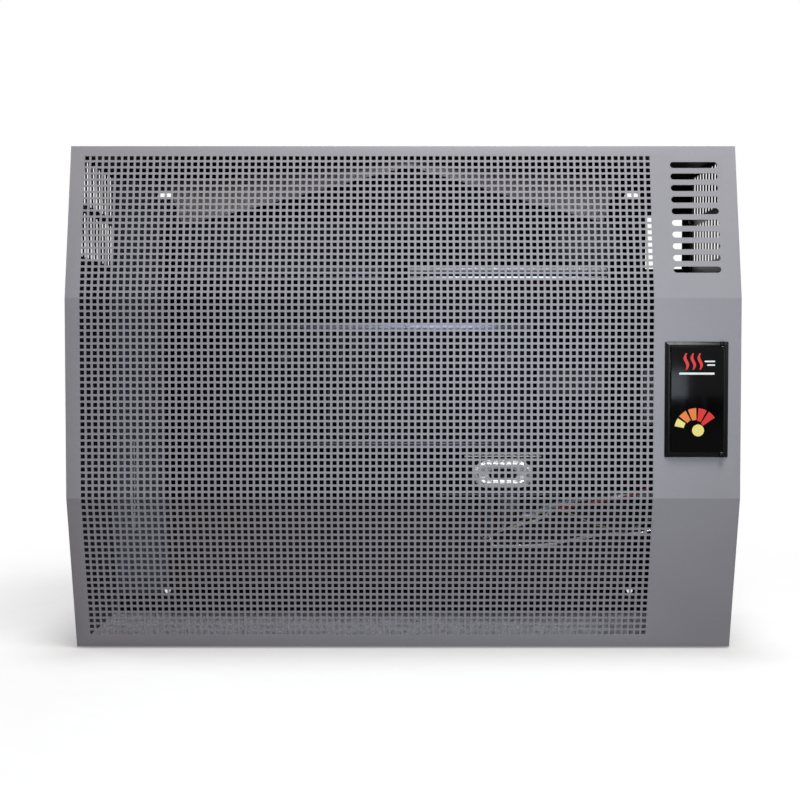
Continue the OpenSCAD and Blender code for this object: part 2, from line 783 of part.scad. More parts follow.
module convector_plate(x0, x1) {
  block([x0, y_face - plate_t, plate_bottom], [x1, y_face, plate_top]);
  for (z = [plate_bottom, plate_top - plate_t])
    block([x0, y_face - plate_d, z], [x1, y_face - plate_t, z + plate_t]);
  fins = floor((x1 - x0) / plate_fin_pitch);
  first = (x0 + x1 - (fins - 1) * plate_fin_pitch - plate_t) / 2;
  for (i = [0:fins - 1])
    block([first + i * plate_fin_pitch, y_face - plate_d + plate_fin_inset, plate_bottom + plate_t],
      [first + i * plate_fin_pitch + plate_t, y_face - plate_t, plate_top - plate_t]);
}
module left_convector_plate() color("#80838e") convector_plate(body_x - face_half + plate_edge, plate_gap_left);
module right_convector_plate() color("#80838e") convector_plate(plate_gap_right, body_x + face_half - plate_edge);

module cover_gasket() color("#b8b1a4") difference() {
  translate([body_x, y_face - gasket_t / 2, cover_z]) cube([cover_w - 8, gasket_t, cover_h - 8], center = true);
  translate([body_x, y_face, cover_z]) cube([cover_opening[0], 3 * gasket_t, cover_opening[1]], center = true);
  for (side = [-1, 1])
    disc_y(bolt_d / 2 + loose, y_cover - eps, y_face + eps, body_x + side * bolt_w / 2, bolt_z);
}

module finned_cover() color("#747784") difference() {
  union() {
    translate([body_x, y_cover - cover_t / 2, cover_z]) cube([cover_w, cover_t, cover_h], center = true);
    for (z = [cover_top - cover_lip, cover_top - cover_h])
      block([body_x - cover_w / 2, y_cover_front - cover_lip_d, z],
        [body_x + cover_w / 2, y_cover_front, z + cover_lip]);
    block([body_x - cover_w / 2 + fin_margin, y_cover_front - rib_d, cover_z - rib_t / 2],
      [body_x + cover_w / 2 - fin_margin, y_cover_front, cover_z + rib_t / 2]);
    fin_h = (cover_h - 2 * fin_margin - fin_row_gap) / 2;
    for (row = [0:1], i = [0:fin_count - 1])
      translate([body_x + (i - (fin_count - 1) / 2) * fin_pitch, y_cover_front - fin_d,
          cover_top - fin_margin - fin_h - row * (fin_h + fin_row_gap)])
        block([-fin_t / 2, 0, 0], [fin_t / 2, fin_d, fin_h]);
  }
  for (side = [-1, 1])
    disc_y(bolt_d / 2 + fit, y_cover_front - eps, y_cover + eps, body_x + side * bolt_w / 2, bolt_z);
}

module cover_bolts() color("#cfd0d2") for (side = [-1, 1]) {
  x = body_x + side * bolt_w / 2;
  disc_y(bolt_d / 2, y_cover_front, y_cover_front + bolt_l, x, bolt_z);
  hex_y(bolt_head_af, y_cover_front - bolt_head_t, y_cover_front, x, bolt_z);
}

module port_cover() color("#a9aaac")
  block([port_x - port_w / 2, y_face - port_t, port_z - port_h / 2],
    [port_x + port_w / 2, y_face, port_z + port_h / 2]);

// ---- Sight window ----

module sight_gasket() color("#c9c3b6") difference() {
  block([sight_x - sight_w / 2 + gasket_inset, y_sight, sight_z - sight_h / 2 + gasket_inset],
    [sight_x + sight_w / 2 - gasket_inset, y_face, sight_z + sight_h / 2 - gasket_inset]);
  obround_y(sight_hole, y_sight - eps, y_face + eps, sight_x, sight_z);
}

module sight_frame() color("#8d9098") difference() {
  union() {
    block([sight_x - sight_w / 2, y_sight_front, sight_z - sight_h / 2],
      [sight_x + sight_w / 2, y_sight, sight_z + sight_h / 2]);
    block([sight_x - sight_w / 2, y_sight_front - sight_lip_d, sight_z + sight_h / 2 - sight_lip_t],
      [sight_x + sight_w / 2, y_sight_front, sight_z + sight_h / 2]);
  }
  obround_y(sight_hole, y_sight_front - eps, y_sight + eps, sight_x, sight_z);
  for (side = [-1, 1])
    disc_y(ring_screw_d / 2 + fit, y_sight_front - eps, y_sight + eps, sight_x + side * ring_screw_x, sight_z);
}

module sight_glass() color([0.75, 0.85, 0.88, 0.5])
  obround_y(glass, y_sight_front - glass_t, y_sight_front, sight_x, sight_z);

module sight_ring() color("#e3e4e6") difference() {
  obround_y(ring, y_sight_front - ring_t, y_sight_front, sight_x, sight_z);
  obround_y(ring_hole, y_sight_front - ring_t - eps, y_sight_front + eps, sight_x, sight_z);
  obround_y([glass[0] + 2 * loose, glass[1] + 2 * loose], y_sight_front - glass_t - fit, y_sight_front + eps,
    sight_x, sight_z);
  for (side = [-1, 1])
    disc_y(ring_screw_d / 2 + fit, y_sight_front - ring_t - eps, y_sight_front + eps,
      sight_x + side * ring_screw_x, sight_z);
}

module sight_screws() color("#cfd0d2") for (side = [-1, 1]) {
  x = sight_x + side * ring_screw_x;
  disc_y(ring_head_r, y_sight_front - ring_t - ring_head_t, y_sight_front - ring_t, x, sight_z);
  disc_y(ring_screw_d / 2, y_sight_front - ring_t, y_sight, x, sight_z);
}

// ---- Flue, air box and collar ----

module flue_gasket() color("#c9c3b6") difference() {
  disc_y(flue_flange_r, y_back - shell_t - flue_gasket_t, y_back - shell_t, flue_x, flue_z);
  disc_y(spigot_neck_r + loose, y_back - shell_t - flue_gasket_t - eps, y_back - shell_t + eps, flue_x, flue_z);
}

module flue_spigot() color("#a7a8aa") {
  y_flange = y_back - shell_t - flue_gasket_t;
  difference() {
    union() {
      disc_y(flue_flange_r, y_flange - flange_t, y_flange, flue_x, flue_z);
      disc_y(spigot_neck_r, y_flange, y_duct_end - collar_l, flue_x, flue_z);
      disc_y(flue_r, y_duct_end - collar_l, y_duct_end, flue_x, flue_z);
    }
    disc_y(spigot_neck_r - duct_t, y_flange - flange_t - eps, y_duct_end + eps, flue_x, flue_z);
  }
}

module air_box() color("#8a8c90") difference() {
  union() {
    block([flue_x - box_half, y_back, box_bottom], [flue_x + box_half, y_box_back, flue_z]);
    disc_y(box_half, y_back, y_box_back, flue_x, flue_z);
  }
  block([flue_x - box_half + box_t, y_back + box_t, box_bottom + box_t],
    [flue_x + box_half - box_t, y_box_back - box_t, flue_z]);
  disc_y(box_half - box_t, y_back + box_t, y_box_back - box_t, flue_x, flue_z);
  disc_y(spigot_neck_r + loose, y_back - eps, y_back + box_t + eps, flue_x, flue_z);
  disc_y(collar_neck_r - duct_t, y_box_back - box_t - eps, y_box_back + eps, flue_x, flue_z);
  block([flue_x - air_port[0] / 2, y_back - eps, air_port_z],
    [flue_x + air_port[0] / 2, y_back + box_t + eps, air_port_z + air_port[1]]);
}

module air_collar() color("#9fa1a5") difference() {
  union() {
    disc_y(collar_neck_r, y_box_back, y_box_back + collar_neck_l, flue_x, flue_z);
    disc_y(collar_r, y_box_back + collar_neck_l, y_duct_end, flue_x, flue_z);
  }
  disc_y(collar_neck_r - duct_t, y_box_back - eps, y_duct_end + eps, flue_x, flue_z);
}

// ---- Air deflector ----

// A flat sheet whose top face follows wing_z on one side of the ridge
module wing_sheet(side) {
  lean = atan(norm([fall_out, fall_back]));
  turn = atan2(fall_back, side * fall_out);
  blank = 2 * casing_w;
  translate([flue_x, y_wing_front, ridge_z]) rotate([0, lean, turn])
    translate([-blank / 2, -blank / 2, -wing_t]) cube([blank, blank, wing_t]);
}

module wing(side, reach) {
  intersection() {
    wing_sheet(side);
    along_z(ridge_z - 120, ridge_z + 20) polygon([
      [flue_x, y_wing_front], [flue_x + side * reach, y_wing_front],
      [flue_x + side * reach, wing_tip_y], [flue_x, y_wing_front + ridge_root]]);
  }
}
module left_deflector() color("#cfc3b8") wing(-1, left_wing);
module right_deflector() color("#cfc3b8") wing(1, right_wing);

// Arms from the rear panel that reach over the exchanger and carry the wings from above
module deflector_brackets() color("#a3a4a8")
  for (x = [flue_x - left_wing + wing_bracket_inset, flue_x + right_wing - wing_bracket_inset - wing_bracket_t]) {
    mid = x + wing_bracket_t / 2;
    y_seat = wing_tip_y - wing_bracket_seat;
    y_knee = y_seam - flange_lip;
    z_low = body_top + flange_lip + 3;
    z_tip = wing_z(mid, wing_tip_y) + wing_seat;
    along_x(x, x + wing_bracket_t) polygon([
      [-frame_t, z_low], [y_knee, z_low], [wing_tip_y, z_tip], [y_seat, wing_z(mid, y_seat) + wing_seat],
      [y_seat, wing_z(mid, y_seat) + wing_bracket_h],
      [y_knee, max(z_low, z_tip) + wing_bracket_h], [-frame_t, z_low + wing_bracket_h]]);
  }

// ---- Burner group ----

module burner_carrier() color("#9b9da1") difference() {
  block([carrier_x - carrier[0] / 2, carrier_y - carrier[1] / 2, z_carrier - carrier_t],
    [carrier_x + carrier[0] / 2, carrier_y + carrier[1] / 2, z_carrier]);
  disc_z(burner_r + fit, z_carrier - carrier_t - eps, z_carrier + eps, burner_x, burner_y);
  disc_z(pilot_r + fit, z_carrier - carrier_t - eps, z_carrier + eps, pilot_x, pilot_y);
  disc_z(electrode_r + fit, z_carrier - carrier_t - eps, z_carrier + eps, electrode_x, pilot_y);
  disc_z(couple_r + fit, z_carrier - carrier_t - eps, z_carrier + eps, couple_x, pilot_y);
}

module main_burner() color("#8f9093") difference() {
  union() {
    disc_x(burner_r, burner_x - burner_l, burner_x, burner_y, burner_z);
    translate([burner_x, burner_y, burner_z]) sphere(burner_r);
    disc_z(burner_r, burner_foot, burner_z, burner_x, burner_y);
  }
  disc_z(burner_bore_r, burner_foot - eps, burner_foot + burner_bore_l, burner_x, burner_y);
  for (i = [1:port_count])
    disc_z(port_r, burner_z, burner_z + burner_r + eps, burner_x - i * burner_l / (port_count + 1), burner_y);
}

module gas_injector() color("#c9a95c") {
  hex_z(injector_r, burner_foot - injector_t, burner_foot, burner_x, burner_y);
  disc_x(injector_arm_r, burner_x, burner_x + injector_arm, burner_y, injector_z);
  disc_z(burner_bore_r - fit, burner_foot, burner_foot + 16, burner_x, burner_y);
}

module pilot_burner() color("#b7b8ba") {
  disc_z(pilot_r, z_pilot_foot, z_pilot_top, pilot_x, pilot_y);
  translate([pilot_x - flame_head[1] / 2, pilot_y - flame_head[1] / 2, z_pilot_top]) cube(flame_head);
  hex_z(pilot_r + 2.5, z_pilot_foot, z_pilot_foot + pilot_nut_h, pilot_x, pilot_y);
}

module thermocouple() color("#c59a6a") {
  disc_z(couple_r, z_couple_foot, z_pilot_top + 6, couple_x, pilot_y);
  hex_z(couple_r + 2, z_couple_foot, z_couple_foot + couple_nut_h, couple_x, pilot_y);
}

module ignition_electrode() color("#e9e6df") {
  disc_z(electrode_r, z_electrode_foot, z_pilot_top + 2, electrode_x, pilot_y);
  disc_z(spark_wire_r, z_pilot_top + 2, z_pilot_top + 2 + spark_wire_l, electrode_x, pilot_y);
}

module main_gas_tube() color("#c8c9cb") tube_along([
  [burner_x + injector_arm, burner_y, injector_z],
  [burner_x + injector_arm + 14, burner_y, injector_z],
  [burner_x + 60, burner_y + 8, injector_z + 12],
  [burner_x + 110, burner_y + 16, injector_z + 22],
  [gas_port[0] - 30, burner_y + 12, injector_z + 24],
  [gas_port[0], (burner_y + gas_port[1]) / 2, injector_z + 32],
  [gas_port[0], gas_port[1], injector_z + 56],
  [gas_port[0], gas_port[1], valve_bottom - port_l - 14],
  [gas_port[0], gas_port[1], valve_bottom - port_l]], 8);

module pilot_tube() color("#d9dadb") tube_along([
  [pilot_x, pilot_y, z_pilot_foot],
  [pilot_x, pilot_y, z_pilot_foot - 7],
  [pilot_x + 3, pilot_y - 2, z_pilot_foot - 14],
  [pilot_x + 10, pilot_y - 5, z_pilot_foot - 17],
  [pilot_x + 75, pilot_y - 19, z_pilot_foot - 13],
  [pilot_x + 112, pilot_y - 39, z_pilot_foot - 2],
  [pilot_x + 157, pilot_y - 64, z_pilot_foot + 9],
  [pilot_x + 182, pilot_y - 84, z_pilot_foot + 12],
  [pilot_port[0] - 14, pilot_port[1], z_pilot_foot + 20],
  [pilot_port[0], pilot_port[1], z_pilot_foot + 48],
  [pilot_port[0], pilot_port[1], valve_bottom - port_l - 12],
  [pilot_port[0], pilot_port[1], valve_bottom - port_l]], 4);

module thermocouple_lead() color("#9c8c4e") tube_along([
  [couple_x, pilot_y, z_couple_foot],
  [couple_x, pilot_y, z_couple_foot - 6],
  [couple_x + 6, pilot_y - 6, z_couple_foot - 10],
  [couple_x + 26, pilot_y - 12, z_couple_foot],
  [couple_x + 60, pilot_y - 22, z_couple_foot + 18],
  [couple_x + 98, pilot_y - 39, z_couple_foot + 33],
  [couple_x + 133, pilot_y - 46, z_couple_foot + 21],
  [couple_x + 159, pilot_y - 49, z_couple_foot + 12],
  [couple_x + 200, pilot_y - 56, z_couple_foot + 12],
  [couple_port[0] - 6, couple_port[1] + 6, z_couple_foot + 40],
  [couple_port[0], couple_port[1], valve_bottom - port_l - 14],
  [couple_port[0], couple_port[1], valve_bottom - port_l]], 2);

module ignition_lead() color("#c2302c") tube_along([
  [electrode_x, pilot_y, z_electrode_foot],
  [electrode_x, pilot_y, z_electrode_foot - 2],
  [electrode_x + 2, pilot_y, z_electrode_foot - 5],
  [electrode_x + 7, pilot_y - 1, z_electrode_foot - 5],
  [electrode_x + 46, pilot_y - 8, z_electrode_foot + 8],
  [electrode_x + 69, pilot_y - 29, z_electrode_foot + 24],
  [electrode_x + 118, pilot_y - 60, z_electrode_foot + 38],
  [electrode_x + 165, pilot_y - 89, z_electrode_foot + 52],
  [pilot_port[0] - 14, y_terminal, z_electrode_foot + 80],
  [door_x - igniter_r - terminal_l - 16, y_terminal, button_z - 22],
  [door_x - igniter_r - terminal_l - 10, y_terminal, button_z - 4],
  [door_x - igniter_r - terminal_l - 4, y_terminal, button_z],
  [door_x - igniter_r - terminal_l, y_terminal, button_z]], 4);

// ---- Gas valve and controls ----

module gas_valve() color("#c3c5c8") difference() {
  union() {
    block([valve_left, y_valve_front, valve_bottom], [valve_left + valve_w, y_valve_back, valve_top]);
    disc_y(boss_r, y_valve_front - boss_t, y_valve_front, door_x, spindle_z);
    disc_z(inlet_boss_r, valve_bottom - inlet_boss_t, valve_bottom, inlet_x, inlet_y);
    disc_z(head_r, valve_top, valve_top + head_t, door_x, inlet_y);
    disc_y(cap_r, y_valve_front - cap_t, y_valve_front, valve_left + cap_inset, valve_top - cap_inset);
    for (at = [pilot_port, couple_port]) disc_z(small_port_r, valve_bottom - port_l, valve_bottom, at[0], at[1]);
    disc_z(gas_port_r, valve_bottom - port_l, valve_bottom, gas_port[0], gas_port[1]);
    disc_y(small_port_r, y_valve_back, y_valve_back + port_l, bulb_port[0], bulb_port[1]);
  }
  disc_y(spindle_r + fit, y_valve_front - boss_t - eps, y_spindle_end + plunger_l + spindle_travel + end_room,
    door_x, spindle_z);
}

module valve_bracket() color("#9a9ca1") {
  web_x = valve_left + valve_w + web_gap;
  z = [valve_bottom + 18, valve_top - 12];
  t = valve_bracket_t;
  block([valve_left + tab_in, -frame_t - t, z[0]], [web_x + t, -frame_t, z[1]]);
  block([web_x, y_valve_back, z[0]], [web_x + t, -frame_t - t, z[1]]);
  block([valve_left + tab_in, y_valve_back, z[0]], [web_x, y_valve_back + t, z[1]]);
}

module valve_plunger() color("#a9a06c")
  disc_y(spindle_r, y_spindle_end, y_spindle_end + plunger_l, door_x, spindle_z);

module valve_spindle() color("#bfc0c2")
  disc_y(spindle_r, y_knob_back - spindle_in_knob, y_spindle_end, door_x, spindle_z);

module control_knob() color("#e4e4e1") difference() {
  union() {
    disc_y(knob_d / 2, y_knob_front + knob_t / 2, y_knob_back, door_x, spindle_z);
    disc_y(knob_d / 2 - knob_step, y_knob_front + grip_d, y_knob_front + knob_t / 2, door_x, spindle_z);
    block([door_x - grip_w / 2, y_knob_front, spindle_z - grip_l / 2],
      [door_x + grip_w / 2, y_knob_front + grip_d, spindle_z + grip_l / 2]);
  }
  disc_y(spindle_r + fit, y_knob_back - spindle_in_knob - fit, y_knob_back + eps, door_x, spindle_z);
}

module igniter_bracket() color("#9a9ca1")
  block([door_x - igniter_plate_w / 2, y_igniter_back, button_z - igniter_plate_w / 2],
    [door_x + igniter_plate_w / 2, y_valve_front, button_z + igniter_plate_w / 2]);

module igniter_body() color("#2a2b2e") difference() {
  union() {
    disc_y(igniter_r, y_igniter_back - igniter_l, y_igniter_back, door_x, button_z);
    hex_y(igniter_nut_af, y_igniter_back - igniter_l + igniter_nut_t, y_igniter_back - igniter_l + 2 * igniter_nut_t,
      door_x, button_z);
    disc_x(terminal_r, door_x - igniter_r - terminal_l, door_x, y_terminal, button_z);
  }
  disc_y(button_r + fit, y_igniter_back - igniter_l - eps, y_button_front + button_l + button_travel + end_room,
    door_x, button_z);
}

module igniter_button() color("#d23a2f")
  disc_y(button_r, y_button_front, y_button_front + button_l, door_x, button_z);

module inlet_pipe() color("#b4b5b8") difference() {
  union() {
    disc_z(inlet_d / 2, inlet_end, inlet_end + inlet_thread_l, inlet_x, inlet_y);
    disc_z(pipe_r, inlet_end + inlet_thread_l, valve_bottom - inlet_boss_t, inlet_x, inlet_y);
  }
  disc_z(pipe_bore_r, inlet_end - eps, valve_bottom - inlet_boss_t + eps, inlet_x, inlet_y);
}

module inlet_nut() color("#c9a95c") difference() {
  hex_z(nut_r, valve_bottom - inlet_boss_t - nut_t, valve_bottom - inlet_boss_t, inlet_x, inlet_y);
  disc_z(pipe_r + fit, valve_bottom - inlet_boss_t - nut_t - eps, valve_bottom - inlet_boss_t + eps,
    inlet_x, inlet_y);
}

// ---- Thermostat bulb and capillary ----

module thermostat_bulb() color("#c88a5a") disc_x(bulb_r, bulb_x, bulb_x + bulb_l, bulb_y, bulb_z);

module bulb_clips() color("#9a9ca1")
for (x = [bulb_x + clip_from_end, bulb_x + bulb_l - clip_from_end - clip_w]) difference() {
  union() {
    disc_x(bulb_r + clip_t + fit, x, x + clip_w, bulb_y, bulb_z);
    block([x, bulb_y, bulb_z - clip_t], [x + clip_w, -frame_t, bulb_z + clip_t]);
  }
  disc_x(bulb_r + fit, x - eps, x + clip_w + eps, bulb_y, bulb_z);
}

module capillary_tube() color("#c88a5a") tube_along([
  [bulb_x + bulb_l, bulb_y, bulb_z],
  [bulb_x + bulb_l + 12, bulb_y, bulb_z],
  [bulb_x + bulb_l + 50, bulb_y - 5, bulb_z + 5],
  [bulb_x + bulb_l + 80, bulb_y - 14, bulb_z + 22],
  [bulb_port[0] + 4, bulb_y - 30, bulb_z + 70],
  [bulb_port[0] + 6, bulb_y - 60, bulb_z + 150],
  [bulb_port[0] + 3, y_valve_back + 34, bulb_port[1] - 16],
  [bulb_port[0], y_valve_back + port_l + 12, bulb_port[1]],
  [bulb_port[0], y_valve_back + port_l, bulb_port[1]]], 1.8);

front_panel();
left_side_panel();
right_side_panel();
top_panel();
bottom_panel();
casing_screws();
door_frame();
door_hinge_pins();
door_catch();
access_door();
rear_panel();
hanging_rail();
lower_rail();
radiation_shield();
casing_clip();
exchanger_rear_shell();
exchanger_front_shell();
exchanger_brackets();
flue_baffle();
left_convector_plate();
right_convector_plate();
cover_gasket();
finned_cover();
cover_bolts();
port_cover();
sight_gasket();
sight_frame();
sight_glass();
sight_ring();
sight_screws();
flue_gasket();
flue_spigot();
air_box();
air_collar();
left_deflector();
right_deflector();
deflector_brackets();
burner_carrier();
main_burner();
gas_injector();
pilot_burner();
thermocouple();
thermocouple_lead();
ignition_electrode();
ignition_lead();
pilot_tube();
main_gas_tube();
gas_valve();
valve_bracket();
valve_plunger();
valve_spindle();
control_knob();
igniter_body();
igniter_button();
igniter_bracket();
inlet_pipe();
inlet_nut();
thermostat_bulb();
capillary_tube();
bulb_clips();
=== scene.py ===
"""Looks of a wall mounted gas heater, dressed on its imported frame.

The wall is the plane Y = 0, the front faces -Y and +Z is up. Shapes are drawn in millimetres and
placed in metres.
"""

import logging
import math
from collections.abc import Mapping, Sequence
from dataclasses import dataclass, field, replace
from enum import Enum

import bmesh
import bpy
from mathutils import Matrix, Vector
from mathutils.geometry import delaunay_2d_cdt


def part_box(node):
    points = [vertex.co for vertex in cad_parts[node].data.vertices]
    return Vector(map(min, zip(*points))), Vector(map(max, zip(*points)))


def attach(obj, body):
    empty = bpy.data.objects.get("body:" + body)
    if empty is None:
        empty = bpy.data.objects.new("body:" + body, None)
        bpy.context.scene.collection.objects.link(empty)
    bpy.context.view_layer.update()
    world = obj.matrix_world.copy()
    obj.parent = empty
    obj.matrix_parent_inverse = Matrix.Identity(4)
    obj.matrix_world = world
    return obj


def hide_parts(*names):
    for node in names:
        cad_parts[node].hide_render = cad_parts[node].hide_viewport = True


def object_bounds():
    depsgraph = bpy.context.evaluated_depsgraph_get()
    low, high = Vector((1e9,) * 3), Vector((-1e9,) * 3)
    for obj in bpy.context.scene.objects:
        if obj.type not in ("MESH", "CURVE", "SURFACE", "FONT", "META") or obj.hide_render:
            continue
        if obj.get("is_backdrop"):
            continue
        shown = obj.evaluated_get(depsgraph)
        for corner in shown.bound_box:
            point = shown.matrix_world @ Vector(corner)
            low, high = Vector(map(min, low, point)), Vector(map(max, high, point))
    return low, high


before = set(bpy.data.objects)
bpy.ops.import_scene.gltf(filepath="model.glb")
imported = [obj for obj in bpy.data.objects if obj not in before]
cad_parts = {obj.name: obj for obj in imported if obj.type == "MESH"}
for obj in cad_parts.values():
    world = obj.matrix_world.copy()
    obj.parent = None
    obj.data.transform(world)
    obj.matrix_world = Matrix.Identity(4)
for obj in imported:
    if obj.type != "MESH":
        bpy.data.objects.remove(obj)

MM = 0.001
LOG = logging.getLogger("gas_heater")
WELD = 1e-6
SOFT_ANGLE = 40.0
TOUCH = 0.01
EVEN = (1.0, 1.0, 1.0)
WHITE = (1.0, 1.0, 1.0, 1.0)
SMOOTH = {"interpolation_type": "SMOOTHSTEP"}
TIMES = {"operation": "MULTIPLY"}
CHAMFER = ((0.95, 0.0), (1.0, 0.06), (1.16, 0.2), (1.16, 0.8), (1.0, 0.94), (0.95, 1.0))

Point = tuple[float, float, float]
Spot = tuple[float, float]
Colour = tuple[float, float, float, float]


class Body(Enum):
    """Bodies of the frame that pieces ride on."""

    HEATER = "heater"
    DOOR = "door"
    PLUNGER = "plunger"
    KNOB = "knob"
    BUTTON = "button"


class Axis(Enum):
    """Direction that a turned or extruded shape runs along."""

    X = 0
    Y = 1
    Z = 2

    def lift(self, across: Spot, along: float) -> Point:
        """Point from two coordinates across the axis, in right-handed order, and one along it."""
        point = {self.value: along, (self.value + 1) % 3: across[0], (self.value + 2) % 3: across[1]}
        return (point[0], point[1], point[2])


def display(red: float, green: float, blue: float) -> Colour:
    """Linear colour with full alpha from display levels of 0 to 255."""
    shares = (level / 255 for level in (red, green, blue))
    return (*(s / 12.92 if s <= 0.04045 else ((s + 0.055) / 1.055) ** 2.4 for s in shares), 1.0)


def shaded(colour: Colour, share: float) -> Colour:
    """The same hue at another strength, darker where share is below 1."""
    red, green, blue = (min(1.0, channel * share) for channel in colour[:3])
    return (red, green, blue, 1.0)


def drawn(axis: Axis, along: float, across: float = 1.0) -> Point:
    """Factors that stretch a pattern by one amount along an axis and by another across it."""
    x, y, z = (along if each is axis else across for each in Axis)
    return (x, y, z)


ROLLED = drawn(Axis.X, 0.05)


# ---- Shader maths ----


class Wire:
    """A shader socket that joins in plain arithmetic."""

    def __init__(self, tree: "ShaderTree", socket: bpy.types.NodeSocket) -> None:
        """Keeps the socket and the tree that its maths is added to."""
        self.tree = tree
        self.socket = socket

    def __add__(self, other: "Wire | float") -> "Wire":
        """This plus another value."""
        return self.tree.maths("ADD", self, other)

    __radd__ = __add__

    def __sub__(self, other: "Wire | float") -> "Wire":
        """This less another value."""
        return self.tree.maths("SUBTRACT", self, other)

    def __rsub__(self, other: float) -> "Wire":
        """Another value less this."""
        return self.tree.maths("SUBTRACT", other, self)

    def __mul__(self, other: "Wire | float") -> "Wire":
        """This times another value."""
        return self.tree.maths("MULTIPLY", self, other)

    __rmul__ = __mul__

    def __truediv__(self, other: "Wire | float") -> "Wire":
        """This over another value."""
        return self.tree.maths("DIVIDE", self, other)

    def __pow__(self, power: float) -> "Wire":
        """This to a power."""
        return self.tree.maths("POWER", self, power)

    def ramp(self, low: float, high: float) -> "Wire":
        """Rises smoothly from 0 at low to 1 at high."""
        sockets = {"Value": self, "From Min": low, "From Max": high}
        return self.tree.wire("ShaderNodeMapRange", SMOOTH, sockets, "Result")


class ShaderTree:
    """The nodes of one material or world, added by typed calls."""

    def __init__(self, owner: bpy.types.Material | bpy.types.World) -> None:
        """Empties the owner's nodes and adds its output.

        Args:
            owner: The material or world.
        """
        owner.use_nodes = True
        self.owner, self.tree = owner, owner.node_tree
        self.tree.nodes.clear()
        kind = "World" if isinstance(owner, bpy.types.World) else "Material"
        self.end = self.node(f"ShaderNodeOutput{kind}", {}, {})

    @classmethod
    def of_material(cls, name: str) -> "ShaderTree":
        """Makes a material with one surface shader.

        Args:
            name: Name of the material.

        Returns:
            Its tree.
        """
        made = cls(bpy.data.materials.new(name))
        made.surface = made.node("ShaderNodeBsdfPrincipled", {}, {})
        made.show(made.shader(made.surface))
        return made

    def shader(self, node: bpy.types.Node) -> "Wire":
        """A shader node's output."""
        return Wire(self, node.outputs[0])

    def show(self, surface: "Wire") -> None:
        """Ends the tree with a surface."""
        self.feed(self.end, {"Surface": surface})

    def node(
        self, kind: str, settings: Mapping[str, object], sockets: Mapping[str | int, object]
    ) -> bpy.types.Node:
        """Adds a node.

        Args:
            kind: Node type.
            settings: Attributes, set before the sockets.
            sockets: Value or Wire for each named or numbered input.

        Returns:
            The new node.
        """
        made = self.tree.nodes.new(kind)
        for key, value in settings.items():
            setattr(made, key, value)
        self.feed(made, sockets)
        return made

    def feed(self, node: bpy.types.Node, sockets: Mapping[str | int, object]) -> None:
        """Sets or links a node's inputs.

        Args:
            node: The node to feed.
            sockets: Value or Wire for each named or numbered input.
        """
        for key, value in sockets.items():
            if isinstance(value, Wire):
                self.tree.links.new(value.socket, node.inputs[key])
            else:
                node.inputs[key].default_value = value

    def wire(
        self,
        kind: str,
        settings: Mapping[str, object],
        sockets: Mapping[str | int, object],
        output: str | int = 0,
    ) -> Wire:
        """Adds a node and returns the named or numbered one of its outputs."""
        return Wire(self, self.node(kind, settings, sockets).outputs[output])

    def maths(self, operation: str, first: Wire | float, second: Wire | float) -> Wire:
        """One Math node on two values."""
        return self.wire("ShaderNodeMath", {"operation": operation}, {0: first, 1: second})

    def mix(self, share: Wire | float, low: Wire | Colour, high: Wire | Colour) -> Wire:
        """Blends two colours: share 0 gives low and 1 gives high."""
        return self.wire("ShaderNodeMix", {"data_type": "RGBA"}, {0: share, 6: low, 7: high}, 2)

    def blend(self, share: Wire, low: Wire, high: Wire) -> Wire:
        """Blends two shaders: share 0 gives low and 1 gives high."""
        return self.wire("ShaderNodeMixShader", {}, {0: share, 1: low, 2: high})

    def tones(self, share: Wire, colour: Colour, dark: float, light: float) -> Wire:
        """Blends two strengths of one colour: share 0 gives dark and 1 gives light."""
        return self.mix(share, shaded(colour, dark), shaded(colour, light))

    def place(self, stretch: Point = EVEN) -> Wire:
        """The point on the piece, times a factor for each coordinate."""
        sockets = {0: self.wire("ShaderNodeTexCoord", {}, {}, "Object"), 1: stretch}
        return sockets[0] if stretch == EVEN else self.wire("ShaderNodeVectorMath", TIMES, sockets)

    def coordinate(self, axis: Axis) -> Wire:
        """One coordinate of the point on the piece, in millimetres."""
        parts = self.node("ShaderNodeSeparateXYZ", {}, {0: self.place()})
        return Wire(self, parts.outputs[axis.value]) / MM

    def away(self, axis: Axis, middle: float) -> Wire:
        """Distance in millimetres from a place along an axis."""
        return self.maths("ABSOLUTE", self.coordinate(axis) - middle, 0.0)

    def noise(self, size: float, detail: float = 2.0, stretch: Point = EVEN) -> Wire:
        """Cloudy pattern from 0 to 1, with blobs of a size in millimetres."""
        sockets = {"Vector": self.place(stretch), "Scale": 1 / (size * MM), "Detail": detail}
        return self.wire("ShaderNodeTexNoise", {}, sockets, "Fac")

    def cells(self, size: float, output: str = "Distance") -> Wire:
        """Cell pattern, with cells of a size in millimetres."""
        sockets = {"Vector": self.place(), "Scale": 1 / (size * MM)}
        return self.wire("ShaderNodeTexVoronoi", {"feature": "F1"}, sockets, output)

    def laid(self, socket: str) -> Wire:
        """What the surface shader's socket is fed by."""
        return Wire(self, self.surface.inputs[socket].links[0].from_socket)

    def band(self, axis: Axis, low: float, high: float, soft: float = 0.4) -> Wire:
        """1 between two places along an axis and 0 outside them, with a soft fade at both."""
        along = self.coordinate(axis)
        return along.ramp(low - soft, low + soft) * (0.0 - along).ramp(-high - soft, -high + soft)

    def lay(self, tone: Wire, rough: Wire, metal: Wire | float = 0.0) -> None:
        """Gives the surface its colour, its roughness and its share of metal."""
        self.feed(self.surface, {"Base Color": tone, "Roughness": rough, "Metallic": metal})

    def emboss(self, height: Wire, depth: float) -> None:
        """Gives the surface a relief of a depth in millimetres, from a pattern of 0 to 1."""
        bump = self.wire("ShaderNodeBump", {}, {"Height": height, "Distance": depth * MM}, "Normal")
        self.feed(self.surface, {"Normal": bump})


# ---- Finishes ----


